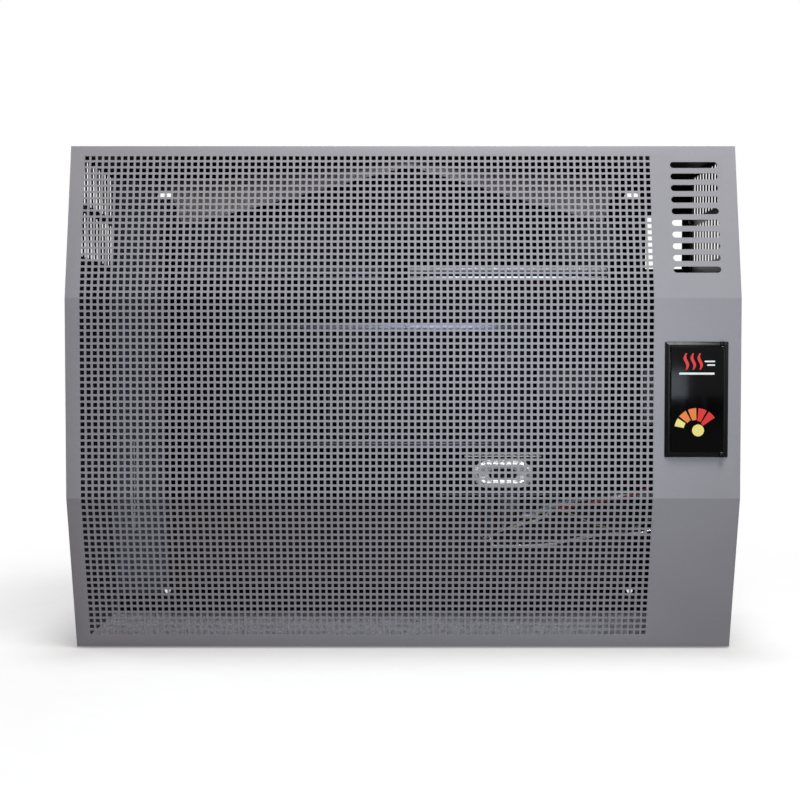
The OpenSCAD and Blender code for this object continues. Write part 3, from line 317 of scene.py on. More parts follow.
@dataclass(frozen=True)
class Finish:
    """A finish, made once and shared by the pieces that have it."""

    name: str
    slot: str
    specular: float = field(default=0.5, kw_only=True)

    def material(self) -> bpy.types.Material:
        """Makes the finish's material at its first use.

        Returns:
            The material.
        """
        made = bpy.data.materials.get(self.name)
        if made is None:
            tree = ShaderTree.of_material(self.name)
            tree.feed(tree.surface, {"Specular IOR Level": self.specular})
            self.paint(tree)
            made = tree.owner
        return made

    def paint(self, tree: ShaderTree) -> None:
        """Adds the finish's own nodes."""
        raise NotImplementedError


@dataclass(frozen=True)
class PowderCoat(Finish):
    """Sprayed and baked satin paint with a fine orange peel."""

    colour: Colour
    rough: float = 0.42
    grain: float = 1.6
    cloud: float = 140.0
    depth: float = 0.02
    inside: Colour | None = None
    inside_axis: Axis = Axis.X
    inside_limit: float = 417.4

    def paint(self, tree: ShaderTree) -> None:
        """Two close tones, clouded and speckled, over a fine relief; the inner face may get its own tone of
        painted light and shade.

        Args:
            tree: The material\'s nodes.
        """
        grain = tree.noise(self.grain, detail=3.0)
        cloud = tree.noise(self.cloud, detail=3.0)
        tone = tree.tones(grain * 0.55 + cloud * 0.45, self.colour, dark=0.88, light=1.12)
        # Painted light and shade: the inner face gets a tone of its own, near white on the bottom panel's
        # upward face, near black under the top panel and inside the sides.
        if self.inside:
            away = tree.maths("ABSOLUTE", tree.coordinate(self.inside_axis), 0.0)
            outer = away.ramp(self.inside_limit - 0.1, self.inside_limit + 0.1)
            tone = tree.mix(outer, self.inside, tone)
        tree.lay(tone, grain * 0.14 + (self.rough - 0.07))
        tree.emboss(grain, self.depth)


@dataclass(frozen=True)
class SheetSteel(Finish):
    """Rolled or zinc plated sheet with a drawn grain, faint spangle and stains."""

    colour: Colour
    rough: float = 0.45
    metal: float = 0.7
    run: Axis = Axis.Z
    spangle: float = 7.0
    stain: Colour = (0.09, 0.075, 0.06, 1.0)
    stained: float = 0.12

    def paint(self, tree: ShaderTree) -> None:
        """Grain along the rolling direction, crystal spangle and cloudy stains.

        Args:
            tree: The material\'s nodes.
        """
        grain = tree.noise(0.9, stretch=drawn(self.run, 0.04))
        shade = tree.wire("ShaderNodeRGBToBW", {}, {0: tree.cells(self.spangle, "Color")})
        tone = tree.tones(grain * 0.6 + shade * 0.4, self.colour, dark=0.8, light=1.18)
        cloud = tree.noise(55.0, detail=4.0).ramp(0.52, 0.78)
        stained = tree.mix(cloud * self.stained, tone, self.stain)
        rough = grain * 0.16 + cloud * 0.1 + (self.rough - 0.1)
        tree.lay(stained, rough, self.metal)
        tree.emboss(grain, 0.012)


@dataclass(frozen=True)
class WallSheet(SheetSteel):
    """Wall frame sheet: plain at its left end and on its wall side, with painted shade over the rest of its
    front, where the parts before it shade it.
    """

    dark: float = 0.025
    shade_start_x: float = -330.0
    shade_top_z: float = -262.0

    def paint(self, tree: ShaderTree) -> None:
        """Rolled sheet, then painted shade away from its left end and low down.

        Args:
            tree: The material\'s nodes.
        """
        super().paint(tree)
        # Painted shade: the front face is darkened to near black right of its left end and near its foot,
        # where the exchanger and the shield shade it.
        cloud = (tree.noise(60.0, detail=3.0) - 0.5) * 30.0
        across = (tree.coordinate(Axis.X) + cloud).ramp(self.shade_start_x - 12.0, self.shade_start_x + 12.0)
        down = (self.shade_top_z - tree.coordinate(Axis.Z) + cloud * 0.3).ramp(-12.0, 12.0)
        inner = (0.0 - tree.coordinate(Axis.Y)).ramp(0.3, 0.7)
        painted_shade = tree.maths("MAXIMUM", across, down * across.ramp(-0.2, 0.4)) * inner
        tone = tree.mix(painted_shade, tree.laid("Base Color"), shaded(self.colour, self.dark))
        tree.feed(tree.surface, {"Base Color": tone})


@dataclass(frozen=True)
class Enamel(Finish):
    """Dark heat resisting enamel, rubbed to bright metal on the edges that stand forward, which also carry
    a painted highlight.
    """

    colour: Colour
    rough: float = 0.42
    fleck: float = 2.4
    lip_y: float = -400.0
    lips: tuple[Spot, ...] = ()
    lip: Colour = (0.86, 0.88, 0.94, 1.0)
    pale_patches: tuple[tuple[float, float, float, float], ...] = ()

    def paint(self, tree: ShaderTree) -> None:
        """Flecks over a cloudy ground, pale patches, and lips that are partly bare metal and partly painted
        highlight.

        Args:
            tree: The material\'s nodes.
        """
        fleck = tree.cells(self.fleck).ramp(0.08, 0.34)
        ripple = tree.noise(9.0, detail=3.0)
        cloud = tree.noise(90.0, detail=3.0)
        ground = tree.tones(cloud, self.colour, dark=0.7, light=1.3)
        tone = tree.mix(fleck * 0.3 + 0.7, shaded(self.colour, 1.8), ground)
        # Pale bluish patches at given places; only their tone is drawn.
        for x, z, width, share in self.pale_patches:
            across = (tree.coordinate(Axis.X) - x) / width
            up = (tree.coordinate(Axis.Z) - z) / (width * 0.6)
            near = (1.0 - (across * across + up * up)) + (tree.noise(26.0, detail=4.0) - 0.5) * 1.2
            tone = tree.mix(near.ramp(-0.1, 1.2) * share, tone, display(176, 186, 196))
        rough = ripple * 0.2 + (self.rough - 0.06)
        tree.lay(tone, rough)
        tree.emboss(ripple, 0.08)
        # Painted highlight: the lips' front edges get a bright metal tone, partly rubbed metal and partly
        # standing for the bright lines that light makes on them.
        if self.lips:
            wear_and_highlight = 0.0
            for low, high in self.lips:
                wear_and_highlight = tree.maths("MAXIMUM", tree.band(Axis.Z, low, high), wear_and_highlight)
            wear_and_highlight = wear_and_highlight * (self.lip_y - tree.coordinate(Axis.Y) + ripple * 0.6).ramp(0.0, 0.6)
            tree.lay(tree.mix(wear_and_highlight, tone, self.lip), rough - wear_and_highlight * 0.16, wear_and_highlight * 0.8)


@dataclass(frozen=True)
class CastMetal(Finish):
    """Sand or die cast metal with a pebbled skin."""

    colour: Colour
    rough: float = 0.5
    metal: float = 0.6
    grit: float = 1.3
    depth: float = 0.07

    def paint(self, tree: ShaderTree) -> None:
        """Pebbled relief with darker hollows and a rubbed sheen on its high spots.

        Args:
            tree: The material\'s nodes.
        """
        pebble = tree.noise(self.grit, detail=4.0)
        cloud = tree.noise(35.0, detail=3.0)
        share = pebble * 0.7 + cloud * 0.3
        tone = tree.tones(share.ramp(0.28, 0.72), self.colour, dark=0.66, light=1.25)
        tree.lay(tone, (self.rough + 0.12) - pebble * 0.24, self.metal)
        tree.emboss(pebble, self.depth)


@dataclass(frozen=True)
class WearAndHighlightCast(CastMetal):
    """Cast metal rubbed bright along its two lips and, less, on its fin tips, the brightness partly wear
    and partly painted highlight.
    """

    lip: Colour = (0.42, 0.42, 0.54, 1.0)
    lip_y: float = -141.0
    lips: Spot = (-60.2, 88.4)
    middle: float = 5.0
    reach: float = 120.0
    tip_y: float = -148.4
    tips: float = 0.16

    def paint(self, tree: ShaderTree) -> None:
        """Cast skin, then wear and painted highlight that are strongest in the middle of the lips.

        Args:
            tree: The material\'s nodes.
        """
        super().paint(tree)
        forward, up = tree.coordinate(Axis.Y), tree.coordinate(Axis.Z)
        away = tree.away(Axis.X, self.middle) + (tree.noise(20.0, detail=3.0) - 0.5) * 60.0
        near = 1.0 - away.ramp(self.reach * 0.7, self.reach * 1.3) * 0.8
        head = up.ramp(self.lips[1] - 0.4, self.lips[1] + 0.4)
        foot = (0.0 - up).ramp(-self.lips[0] - 0.4, -self.lips[0] + 0.4)
        ends = head + foot * 0.5
        # Painted highlight: the bright band on the lips and fin tips, strongest in the middle, stands
        # partly for glints that light makes there and partly for wear.
        lip = (self.lip_y - forward).ramp(-0.2, 0.4) * ends * near
        tip = (self.tip_y - forward).ramp(-0.8, 0.8) * near * self.tips
        wear_and_highlight = tree.maths("MAXIMUM", lip, tip)
        tone = tree.mix(wear_and_highlight, tree.laid("Base Color"), self.lip)
        tree.lay(tone, tree.laid("Roughness") - wear_and_highlight * 0.12, wear_and_highlight * 0.7 + self.metal)


@dataclass(frozen=True)
class TurnedMetal(Finish):
    """Machined or drawn metal with fine tool lines and a breath of tarnish."""

    colour: Colour
    tarnish: Colour
    rough: float = 0.24
    run: Axis = Axis.X
    tarnished: float = 0.45
    metal: float = 1.0

    def paint(self, tree: ShaderTree) -> None:
        """Bright metal, tool lines across its run and soft tarnish.

        Args:
            tree: The material\'s nodes.
        """
        line = tree.noise(0.5, stretch=drawn(self.run, 1.0, 0.12))
        cloud = tree.noise(12.0, detail=4.0).ramp(0.42, 0.75)
        tone = tree.mix(cloud * self.tarnished, self.colour, self.tarnish)
        tree.lay(tone, line * 0.12 + cloud * 0.18 + (self.rough - 0.05), self.metal)
        tree.emboss(line, 0.01)


@dataclass(frozen=True)
class ScorchedSheet(Finish):
    """Plain sheet that heat has browned, more so towards the top and the middle."""

    colour: Colour
    burnt_and_shade: Colour
    metal: float = 0.45
    middle: float = 0.0
    reach: float = 330.0
    height: float = -60.0
    drop: float = 260.0

    def paint(self, tree: ShaderTree) -> None:
        """Rolled grain, then a brown bloom that fades outwards and down.

        Args:
            tree: The material\'s nodes.
        """
        grain = tree.noise(1.1, stretch=ROLLED)
        cloud = tree.noise(70.0, detail=4.0)
        away = tree.away(Axis.X, self.middle) / self.reach
        below = (self.height - tree.coordinate(Axis.Z)) / self.drop
        heat = (1.0 - away * 0.35) - below * 0.4 + (cloud - 0.5) * 0.9
        tone = tree.tones(grain, self.colour, dark=0.86, light=1.12)
        browned = tree.mix(heat.ramp(0.25, 1.05) * 0.7, tone, self.burnt_and_shade)
        tree.lay(browned, cloud * 0.2 + grain * 0.12 + 0.36, self.metal)
        tree.emboss(grain, 0.012)


@dataclass(frozen=True)
class WingSheet(Finish):
    """Deflector sheet with painted light along its rear edge and painted shade towards its front."""

    colour: Colour
    burnt_and_shade: Colour
    ridge_x: float
    front_y: float
    root: float
    spread: float
    dull: Colour = (0.44, 0.38, 0.42, 1.0)
    dull_end: float = 200.0

    def paint(self, tree: ShaderTree) -> None:
        """Rolled grain, a dull middle, then painted shade over the front part of the wing.

        Args:
            tree: The material\'s nodes.
        """
        grain = tree.noise(1.1, stretch=ROLLED)
        cloud = tree.noise(60.0, detail=4.0)
        away = tree.away(Axis.X, self.ridge_x)
        width = away * self.spread + self.root
        share = (tree.coordinate(Axis.Y) - self.front_y) / width + (cloud - 0.5) * 0.5
        dull = away.ramp(30.0, 110.0) * (1.0 - away.ramp(self.dull_end - 40.0, self.dull_end + 40.0))
        tone = tree.tones(grain, self.colour, dark=0.96, light=1.0)
        tone = tree.mix(dull * 0.8, tone, self.dull)
        # Painted light and shade: pale towards the rear edge and dark brown towards the front.
        tone = tree.mix(share.ramp(0.05, 0.75), self.burnt_and_shade, tone)
        tree.lay(tone, cloud * 0.2 + grain * 0.12 + 0.36)
        tree.emboss(grain, 0.012)


@dataclass(frozen=True)
class MouldedPlastic(Finish):
    """Moulded plastic with a fine spark texture."""

    colour: Colour
    rough: float = 0.38
    grain: float = 0.7
    coat: float = 0.0

    def paint(self, tree: ShaderTree) -> None:
        """Near even tone over a fine grain, with handling marks in its gloss.

        Args:
            tree: The material\'s nodes.
        """
        grain = tree.noise(self.grain)
        rub = tree.noise(9.0, detail=3.0, stretch=drawn(Axis.Z, 0.25)).ramp(0.45, 0.8)
        tone = tree.tones(grain * 0.5 + rub * 0.5, self.colour, dark=0.9, light=1.12)
        tree.lay(tone, grain * 0.08 + rub * 0.1 + self.rough)
        tree.feed(tree.surface, {"Coat Weight": self.coat, "Coat Roughness": 0.06})
        tree.emboss(grain, 0.012)


@dataclass(frozen=True)
class Sleeve(Finish):
    """Lead covering: one colour near its far end and another along the rest, with a woven skin."""

    colour: Colour
    near: Colour
    change_x: float
    weave: float = 1.1
    rough: float = 0.5
    metal: float = 0.0

    def paint(self, tree: ShaderTree) -> None:
        """Braid relief and a change of colour at one place along X; the near end may be metal braid.

        Args:
            tree: The material\'s nodes.
        """
        band = {"Vector": tree.place(), "Scale": 0.3 / (self.weave * MM), "Distortion": 1.5}
        braid = tree.wire("ShaderNodeTexWave", {"bands_direction": "DIAGONAL"}, band, "Fac")
        grain = tree.noise(2.0, detail=3.0)
        past = (tree.coordinate(Axis.X) + grain * 2.0).ramp(self.change_x, self.change_x + 3.0)
        shade = tree.mix(past, self.near, self.colour)
        tone = tree.mix(braid * 0.2, shade, (0.01, 0.01, 0.01, 1.0))
        bare = (1.0 - past) * self.metal
        tree.lay(tone, braid * 0.15 + self.rough - bare * 0.3, bare)
        tree.emboss(braid, 0.05)


@dataclass(frozen=True)
class PressedFibre(Finish):
    """Woven mineral fibre gasket."""

    colour: Colour

    def paint(self, tree: ShaderTree) -> None:
        """Felted threads in two tones.

        Args:
            tree: The material\'s nodes.
        """
        felt = tree.noise(1.0, detail=5.0)
        thread = tree.cells(1.8)
        tone = tree.tones(felt * 0.6 + thread * 0.4, self.colour, dark=0.7, light=1.15)
        tree.lay(tone, felt * 0.1 + 0.85)
        tree.emboss(felt, 0.15)


@dataclass(frozen=True)
class GlazedCeramic(Finish):
    """White insulator glaze with a few specks."""

    colour: Colour

    def paint(self, tree: ShaderTree) -> None:
        """Slight crazing and specks under a smooth glaze.

        Args:
            tree: The material\'s nodes.
        """
        speck = tree.cells(3.0).ramp(0.04, 0.1)
        cloud = tree.noise(6.0, detail=3.0)
        ground = tree.tones(cloud, self.colour, dark=0.9, light=1.0)
        tone = tree.mix(speck, display(150, 128, 104), ground)
        tree.lay(tone, cloud * 0.1 + 0.16)
        tree.emboss(cloud, 0.02)


@dataclass(frozen=True)
class HeatGlass(Finish):
    """Heat resisting glass with soot at its rim."""

    tint: Colour
    soot: Colour

    def paint(self, tree: ShaderTree) -> None:
        """Clear tinted glass, clouded by patches of soot.

        Args:
            tree: The material\'s nodes.
        """
        soot = tree.noise(14.0, detail=4.0).ramp(0.5, 0.8)
        tone = tree.mix(soot, self.tint, self.soot)
        tree.lay(tone, soot * 0.35 + 0.05)
        tree.feed(tree.surface, {"Transmission Weight": 0.75, "IOR": 1.47})


CASING_PAINT = PowderCoat(
    "casing_powder_coat", "casing_paint", display(153, 151, 157), specular=0.4
)
# Inner tones: painted shade inside the sides and under the top, painted light on the bottom panel's upward
# face.
SIDE_PAINT = replace(CASING_PAINT, name="side_panel_powder_coat", inside=display(34, 36, 46))
FOOT_PAINT = replace(
    CASING_PAINT, name="bottom_panel_powder_coat", inside=display(236, 239, 247),
    inside_axis=Axis.Z, inside_limit=317.8,
)
TOP_PAINT = replace(FOOT_PAINT, name="top_panel_powder_coat", inside=display(14, 13, 15))
ZINC = SheetSteel(
    "zinc_plated_steel", "zinc_steel", display(190, 191, 196), rough=0.36, metal=0.8, spangle=4.0
)
DULL_ZINC = SheetSteel(
    "dull_zinc", "zinc_steel", display(70, 71, 76), rough=0.5, metal=0.4, spangle=4.0,
    specular=0.2,
)
BRIGHT_WIRE = SheetSteel(
    "bright_zinc_wire", "zinc_steel", display(252, 252, 254), rough=0.26, metal=0.2, spangle=4.0
)
BLACK_FRAME = MouldedPlastic(
    "black_door_frame", "black_frame", display(13, 13, 14), rough=0.24, specular=0.16
)
DARK_PLASTIC = MouldedPlastic("dark_moulding", "dark_plastic", display(52, 53, 57), rough=0.42)
BLACK_GLOSS = MouldedPlastic(
    "black_gloss_door", "black_gloss", display(7, 6, 7), rough=0.08, grain=3.0, specular=0.1
)
FRAME_STEEL = WallSheet(
    "wall_frame_steel", "frame_steel", display(120, 125, 142), rough=0.5, metal=0.1, spangle=9.0,
    specular=0.06,
)
DUCT_STEEL = SheetSteel(
    "air_duct_steel", "frame_steel", display(30, 33, 41), rough=0.5, metal=0.1, spangle=9.0,
    specular=0.05,
)
# Painted shade: the lower rail gets a near black tone for the shade under the radiation shield.
PAINTED_SHADE_RAIL = SheetSteel(
    "lower_frame_steel", "frame_steel", display(34, 34, 37), rough=0.55, metal=0.1, run=Axis.X,
    spangle=9.0, specular=0.1,
)
SHIELD_STEEL = ScorchedSheet(
    "radiation_shield_steel", "shield_steel", display(62, 51, 49), display(43, 35, 30), metal=0.0,
    specular=0.0,
)
EXCHANGER = Enamel(
    "exchanger_enamel_coat",
    "exchanger_enamel",
    display(16, 18, 27),
    pale_patches=(
        (250.0, 206.0, 60.0, 0.5), (116.0, 208.0, 40.0, 0.16), (8.0, 250.0, 56.0, 0.24),
        (-190.0, 200.0, 180.0, 0.07),
    ),
    specular=0.0,
)
# Painted highlight on the right plate's lips; the left plate's copy has dim lips, which is painted shade.
LIPPED_ENAMEL = Enamel(
    "convector_plate_enamel", "exchanger_enamel", display(16, 18, 28), lip_y=-143.6,
    lips=((168.2, 172.6), (157.6, 160.4)), specular=0.05,
)
SHADED_LIPS_ENAMEL = replace(
    LIPPED_ENAMEL, name="left_plate_enamel_shaded_lips", lip=display(74, 76, 86)
)
# Painted highlight: a white band along the sight frame's forward lip.
SIGHT_ENAMEL = Enamel(
    "sight_frame_enamel", "plain_steel", display(18, 19, 24), lip_y=-133.0, lips=((-82.0, -78.0),),
    lip=WHITE, specular=0.05,
)
SCORCHED = ScorchedSheet(
    "scorched_baffle", "scorched_steel", display(110, 106, 104), display(60, 44, 36), metal=0.6,
    reach=300.0, height=300.0,
)
GASKET = PressedFibre("fibre_gasket", "gasket_fibre", display(120, 116, 108))
CAST_COVER = WearAndHighlightCast(
    "cast_cover_skin", "cast_cover", display(17, 19, 29), rough=0.46, metal=0.1, specular=0.05
)
PLAIN_STEEL = SheetSteel(
    "plain_cover_steel", "plain_steel", display(44, 43, 45), rough=0.48, metal=0.2, run=Axis.X,
    spangle=6.0, specular=0.2,
)
SIGHT_GLASS = HeatGlass(
    "sight_window_glass", "sight_glass", display(60, 64, 68), display(20, 19, 19)
)
BRIGHT_ALUMINIUM = TurnedMetal(
    "bright_aluminium_skin", "bright_aluminium", display(236, 236, 238), display(186, 186, 190),
    rough=0.3, metal=0.35,
)
POLISHED = TurnedMetal(
    "polished_aluminium", "bright_aluminium", display(255, 250, 244), display(238, 230, 226),
    rough=0.17, metal=0.7,
)
BRIGHT_TUBE = TurnedMetal(
    "bright_aluminium_tube", "bright_aluminium", display(255, 253, 250), display(246, 242, 238),
    rough=0.14, tarnished=0.2, metal=0.85,
)
BURNER_STEEL = ScorchedSheet(
    "burner_tube_steel", "burner_steel", display(142, 142, 148), display(92, 78, 74), metal=0.8,
    middle=-60.0, reach=260.0, height=0.0,
)
DULL_BRASS = TurnedMetal(
    "heated_brass", "brass_fitting", display(74, 64, 48), display(44, 38, 32), rough=0.5,
    run=Axis.Z,
)
BRASS = TurnedMetal(
    "turned_brass", "brass_fitting", display(214, 180, 104), display(140, 108, 62), rough=0.22,
    run=Axis.Z,
)
DULL_COPPER = TurnedMetal(
    "dull_copper", "copper_alloy", display(72, 58, 52), display(40, 34, 32), rough=0.5
)
OLIVE = Sleeve(
    "olive_lead_sleeve", "olive_sleeve", display(168, 156, 104), display(206, 198, 168),
    change_x=150.0,
)
RED_SLEEVE = Sleeve(
    "red_lead_sleeve", "red_sleeve", display(178, 66, 60), display(255, 254, 252), change_x=204.0,
    metal=0.3,
)
CERAMIC = GlazedCeramic("sooted_insulator", "white_ceramic", display(112, 106, 98))
CAST_ALUMINIUM = CastMetal(
    "die_cast_valve", "cast_aluminium", display(150, 152, 158), rough=0.42, grit=0.8, depth=0.03
)
PALE_PLASTIC = MouldedPlastic(
    "pale_knob_plastic", "pale_plastic", display(224, 224, 220), rough=0.34
)
DARK_MARK = MouldedPlastic("dark_knob_print", "pale_plastic", display(40, 40, 42), rough=0.4)
RED_PLASTIC = MouldedPlastic(
    "red_button_plastic", "red_plastic", display(206, 46, 38), rough=0.28, coat=0.2
)
RED_PRINT = MouldedPlastic("red_print", "red_plastic", display(226, 44, 38), rough=0.3)
ORANGE_PRINT = MouldedPlastic("orange_print", "red_plastic", display(240, 132, 58), rough=0.3)
YELLOW_PRINT = MouldedPlastic("yellow_print", "pale_plastic", display(248, 232, 132), rough=0.3)
WHITE_PRINT = MouldedPlastic("white_print", "pale_plastic", display(244, 244, 244), rough=0.3)


# ---- Drawing ----


@dataclass(frozen=True)
class Extent:
    """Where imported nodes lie, in millimetres."""

    low: Vector
    high: Vector

    @classmethod
    def of(cls, node: str) -> "Extent":
        """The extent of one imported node."""
        low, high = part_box(node)
        return cls(low / MM, high / MM)

    @property
    def middle(self) -> Vector:
        """Middle of the extent."""
        return (self.low + self.high) / 2

    @property
    def size(self) -> Vector:
        """Length along each axis."""
        return self.high - self.low


def node_box(node: str) -> Extent:
    """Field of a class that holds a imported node's extent."""
    return field(default_factory=lambda: Extent.of(node))


def arc(centre: Spot, radius: float, start: float, end: float, steps: int) -> list[Spot]:
    """Points on an arc from one angle in degrees to another, both ends included."""
    angles = (math.radians(start + (end - start) * i / steps) for i in range(steps + 1))
    return [(centre[0] + radius * math.cos(a), centre[1] + radius * math.sin(a)) for a in angles]


def rounded_rectangle(middle: Spot, size: Spot, radius: float, steps: int = 4) -> list[Spot]:
    """Outline of a rectangle with round corners.

    Args:
        middle: Its middle.
        size: Width and height.
        radius: Corner radius.
        steps: Chords in each corner.

    Returns:
        The outline, anticlockwise.
    """
    radius = min(radius, size[0] / 2 - 0.001, size[1] / 2 - 0.001)
    reach = (size[0] / 2 - radius, size[1] / 2 - radius)
    corners = [(1, 1, 0), (-1, 1, 90), (-1, -1, 180), (1, -1, 270)]
    return [
        spot
        for right, up, start in corners
        for spot in arc(
            (middle[0] + right * reach[0], middle[1] + up * reach[1]), radius, start, start + 90, steps
        )
    ]


def inset(outline: Sequence[Spot], depth: float) -> list[Spot]:
    """Moves an anticlockwise outline inwards.

    Args:
        outline: The outline.
        depth: How far its edges move in.

    Returns:
        The moved outline, with as many points.
    """
    moved = []
    count = len(outline)
    for i, spot in enumerate(outline):
        before, here, after = Vector(outline[i - 1]), Vector(spot), Vector(outline[(i + 1) % count])
        normals = [Vector((-(b - a).y, (b - a).x)).normalized() for a, b in ((before, here), (here, after))]
        mean = (normals[0] + normals[1]).normalized()
        moved.append(tuple(here + mean * depth / max(0.5, mean.dot(normals[0]))))
    return moved


class Drawing:
    """One mesh being drawn, in millimetres of the heater's frame."""

    def __init__(self) -> None:
        """Starts with nothing drawn."""
        self.points: list[Point] = []
        self.faces: list[tuple[int, ...]] = []

    def patch(self, points: Sequence[Sequence[float]], faces: Sequence[Sequence[int]]) -> None:
        """Adds points and the faces that join them.

        Args:
            points: New points.
            faces: Faces, each a list of places in the new points.
        """
        start = len(self.points)
        self.points.extend((p[0], p[1], p[2]) for p in points)
        self.faces.extend(tuple(start + i for i in face) for face in faces)

    def loft(self, rings: Sequence[Sequence[Point]], closed: bool = False) -> None:
        """Joins rings of equal count into a skin.

        Args:
            rings: The rings in order.
            closed: True joins the last ring to the first; False caps both ends.
        """
        count, last = len(rings[0]), len(rings)
        steps = last if closed else last - 1
        faces: list[tuple[int, ...]] = []
        for i in range(steps):
            here, there = i * count, ((i + 1) % last) * count
            for k in range(count):
                m = (k + 1) % count
                faces.append((here + k, here + m, there + m, there + k))
        if not closed:
            faces.append(tuple(reversed(range(count))))
            faces.append(tuple((last - 1) * count + k for k in range(count)))
        self.patch([p for ring in rings for p in ring], faces)

    def prism(
        self, outline: Sequence[Spot], start: float, end: float, axis: Axis, soft: float = 0.0
    ) -> None:
        """Extrudes an anticlockwise outline, with softened end edges.

        Args:
            outline: Outline across the axis.
            start: Where it starts along the axis.
            end: Where it ends.
            axis: Direction of the extrusion.
            soft: Radius of its end edges.
        """
        stations = [(0.0, start), (0.0, end)]
        if soft > 0:
            turns = (0, math.pi / 6, math.pi / 3, math.pi / 2)
            bend = [(soft * (1 - math.sin(a)), soft * (1 - math.cos(a))) for a in turns]
            stations = [(i, start + o) for i, o in bend] + [(i, end - o) for i, o in reversed(bend)]
        self.loft([[axis.lift(s, along) for s in inset(outline, i)] for i, along in stations])

    def bar(self, low: Sequence[float], high: Sequence[float], soft: float, axis: Axis = Axis.Y) -> None:
        """Adds a block with soft edges.

        Args:
            low: Lowest corner.
            high: Highest corner.
            soft: Radius of its edges.
            axis: Direction that it is extruded along.
        """
        u, v = (axis.value + 1) % 3, (axis.value + 2) % 3
        middle = ((low[u] + high[u]) / 2, (low[v] + high[v]) / 2)
        outline = rounded_rectangle(middle, (high[u] - low[u], high[v] - low[v]), soft, 3)
        self.prism(outline, low[axis.value], high[axis.value], axis, soft * 0.9)

    def turned(
        self, profile: Sequence[Spot], middle: Spot, axis: Axis, steps: int = 40, closed: bool = False
    ) -> None:
        """Turns a profile round an axis.

        Args:
            profile: (radius, place along the axis) pairs in order.
            middle: Where the axis stands, across it.
            axis: Direction of the axis.
            steps: Sides of the turned shape.
            closed: True joins the profile's ends, as on a ring.
        """
        rings = []
        for radius, along in profile:
            spots = arc(middle, max(radius, 0.02), 0, 360 * (steps - 1) / steps, steps - 1)
            rings.append([axis.lift(spot, along) for spot in spots])
        self.loft(rings, closed)

    def hexagon(self, across: float, start: float, end: float, middle: Spot, axis: Axis) -> None:
        """Adds a hexagon with chamfered corners.

        Args:
            across: Width across its flats.
            start: Where it starts along the axis.
            end: Where it ends.
            middle: Where the axis stands, across it.
            axis: Direction of the axis.
        """
        apothem = across / 2
        rings = []
        for limit, along in CHAMFER:
            ring = []
            for k in range(36):
                turn = math.radians(10 * k)
                off = math.radians((10 * k + 30) % 60 - 30)
                radius = min(apothem / math.cos(off), apothem * limit)
                spot = (middle[0] + radius * math.cos(turn), middle[1] + radius * math.sin(turn))
                ring.append(axis.lift(spot, start + (end - start) * along))
            rings.append(ring)
        self.loft(rings)

    def tube(self, path: Sequence[Sequence[float]], radius: float, sides: int = 16) -> None:
        """Sweeps a round section along a path.

        Args:
            path: Points close enough together to be smooth.
            radius: Radius of the section.
            sides: Sides of the section.
        """
        spots = [Vector(p) for p in path]
        last = len(spots) - 1
        side = Vector((0.3, 1.0, 0.1))
        rings = []
        for i, spot in enumerate(spots):
            heading = (spots[min(i + 1, last)] - spots[max(i - 1, 0)]).normalized()
            side = (side - heading * side.dot(heading)).normalized()
            other = heading.cross(side)
            turns = (2 * math.pi * k / sides for k in range(sides))
            rings.append([tuple(spot + (side * math.cos(a) + other * math.sin(a)) * radius) for a in turns])
        self.loft(rings)

    def mesh(self, name: str) -> bpy.types.Mesh:
        """Makes the mesh in metres, welded and with outward faces.

        Args:
            name: Name of the mesh.

        Returns:
            The mesh.
        """
        made = bpy.data.meshes.new(name)
        made.from_pydata([(x * MM, y * MM, z * MM) for x, y, z in self.points], [], self.faces)
        work = bmesh.new()
        work.from_mesh(made)
        bmesh.ops.remove_doubles(work, verts=work.verts, dist=WELD)
        bmesh.ops.recalc_face_normals(work, faces=work.faces)
        work.to_mesh(made)
        work.free()
        return made


def smooth_path(points: Sequence[Point], steps: int = 8) -> list[Vector]:
    """A smooth curve through points.

    Args:
        points: Points that it passes through.
        steps: Pieces between two of them.

    Returns:
        Points along the curve.
    """
    spots = [Vector(p) for p in points]
    last = len(spots) - 1
    path = []
    for i in range(last):
        a, b, c, d = spots[max(i - 1, 0)], spots[i], spots[i + 1], spots[min(i + 2, last)]
        for s in range(steps):
            t = s / steps
            bend = (2 * a - 5 * b + 4 * c - d) * t * t + (3 * b - a - 3 * c + d) * t**3
            path.append((2 * b + (c - a) * t + bend) / 2)
    return path + [spots[last]]


def add_piece(
    drawing: Drawing,
    name: str,
    finish: Finish,
    replaces: Sequence[str] = (),
    body: Body = Body.HEATER,
    crease: float = 32.0,
) -> None:
    """Makes a drawn mesh a piece of the heater.

    Args:
        drawing: What was drawn.
        name: Name of the piece.
        finish: Its finish.
        replaces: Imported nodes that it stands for.
        body: Body that it rides on.
        crease: Angle in degrees above which an edge stays sharp.
    """
    mesh = drawing.mesh(name)
    mesh.polygons.foreach_set("use_smooth", [True] * len(mesh.polygons))
    mesh.set_sharp_from_angle(angle=math.radians(crease))
    mesh.materials.append(finish.material())
    piece = bpy.data.objects.new(name, mesh)
    bpy.context.scene.collection.objects.link(piece)
    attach(piece, body.value)
    if replaces:
        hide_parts(*replaces)
    LOG.info("piece %s: %d faces", name, len(mesh.polygons))


def dress(finish: Finish, edge: float, *nodes: str) -> None:
    """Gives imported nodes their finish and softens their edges.

    Args:
        finish: Their finish.
        edge: Width of the softened edges in millimetres; 0 leaves them.
        nodes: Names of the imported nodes.
    """
    for node in nodes:
        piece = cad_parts[node]
        for held in piece.material_slots:
            held.material = finish.material()
        if edge > 0:
            weld = piece.modifiers.new("weld", "WELD")
            weld.merge_threshold = WELD
            soft = piece.modifiers.new("soft_edges", "BEVEL")
            soft.width, soft.segments = edge * MM, 2
            soft.limit_method, soft.angle_limit = "ANGLE", math.radians(SOFT_ANGLE)
            soft.use_clamp_overlap = True
        LOG.info("node %s: %s", node, finish.name)


# ---- Casing ----


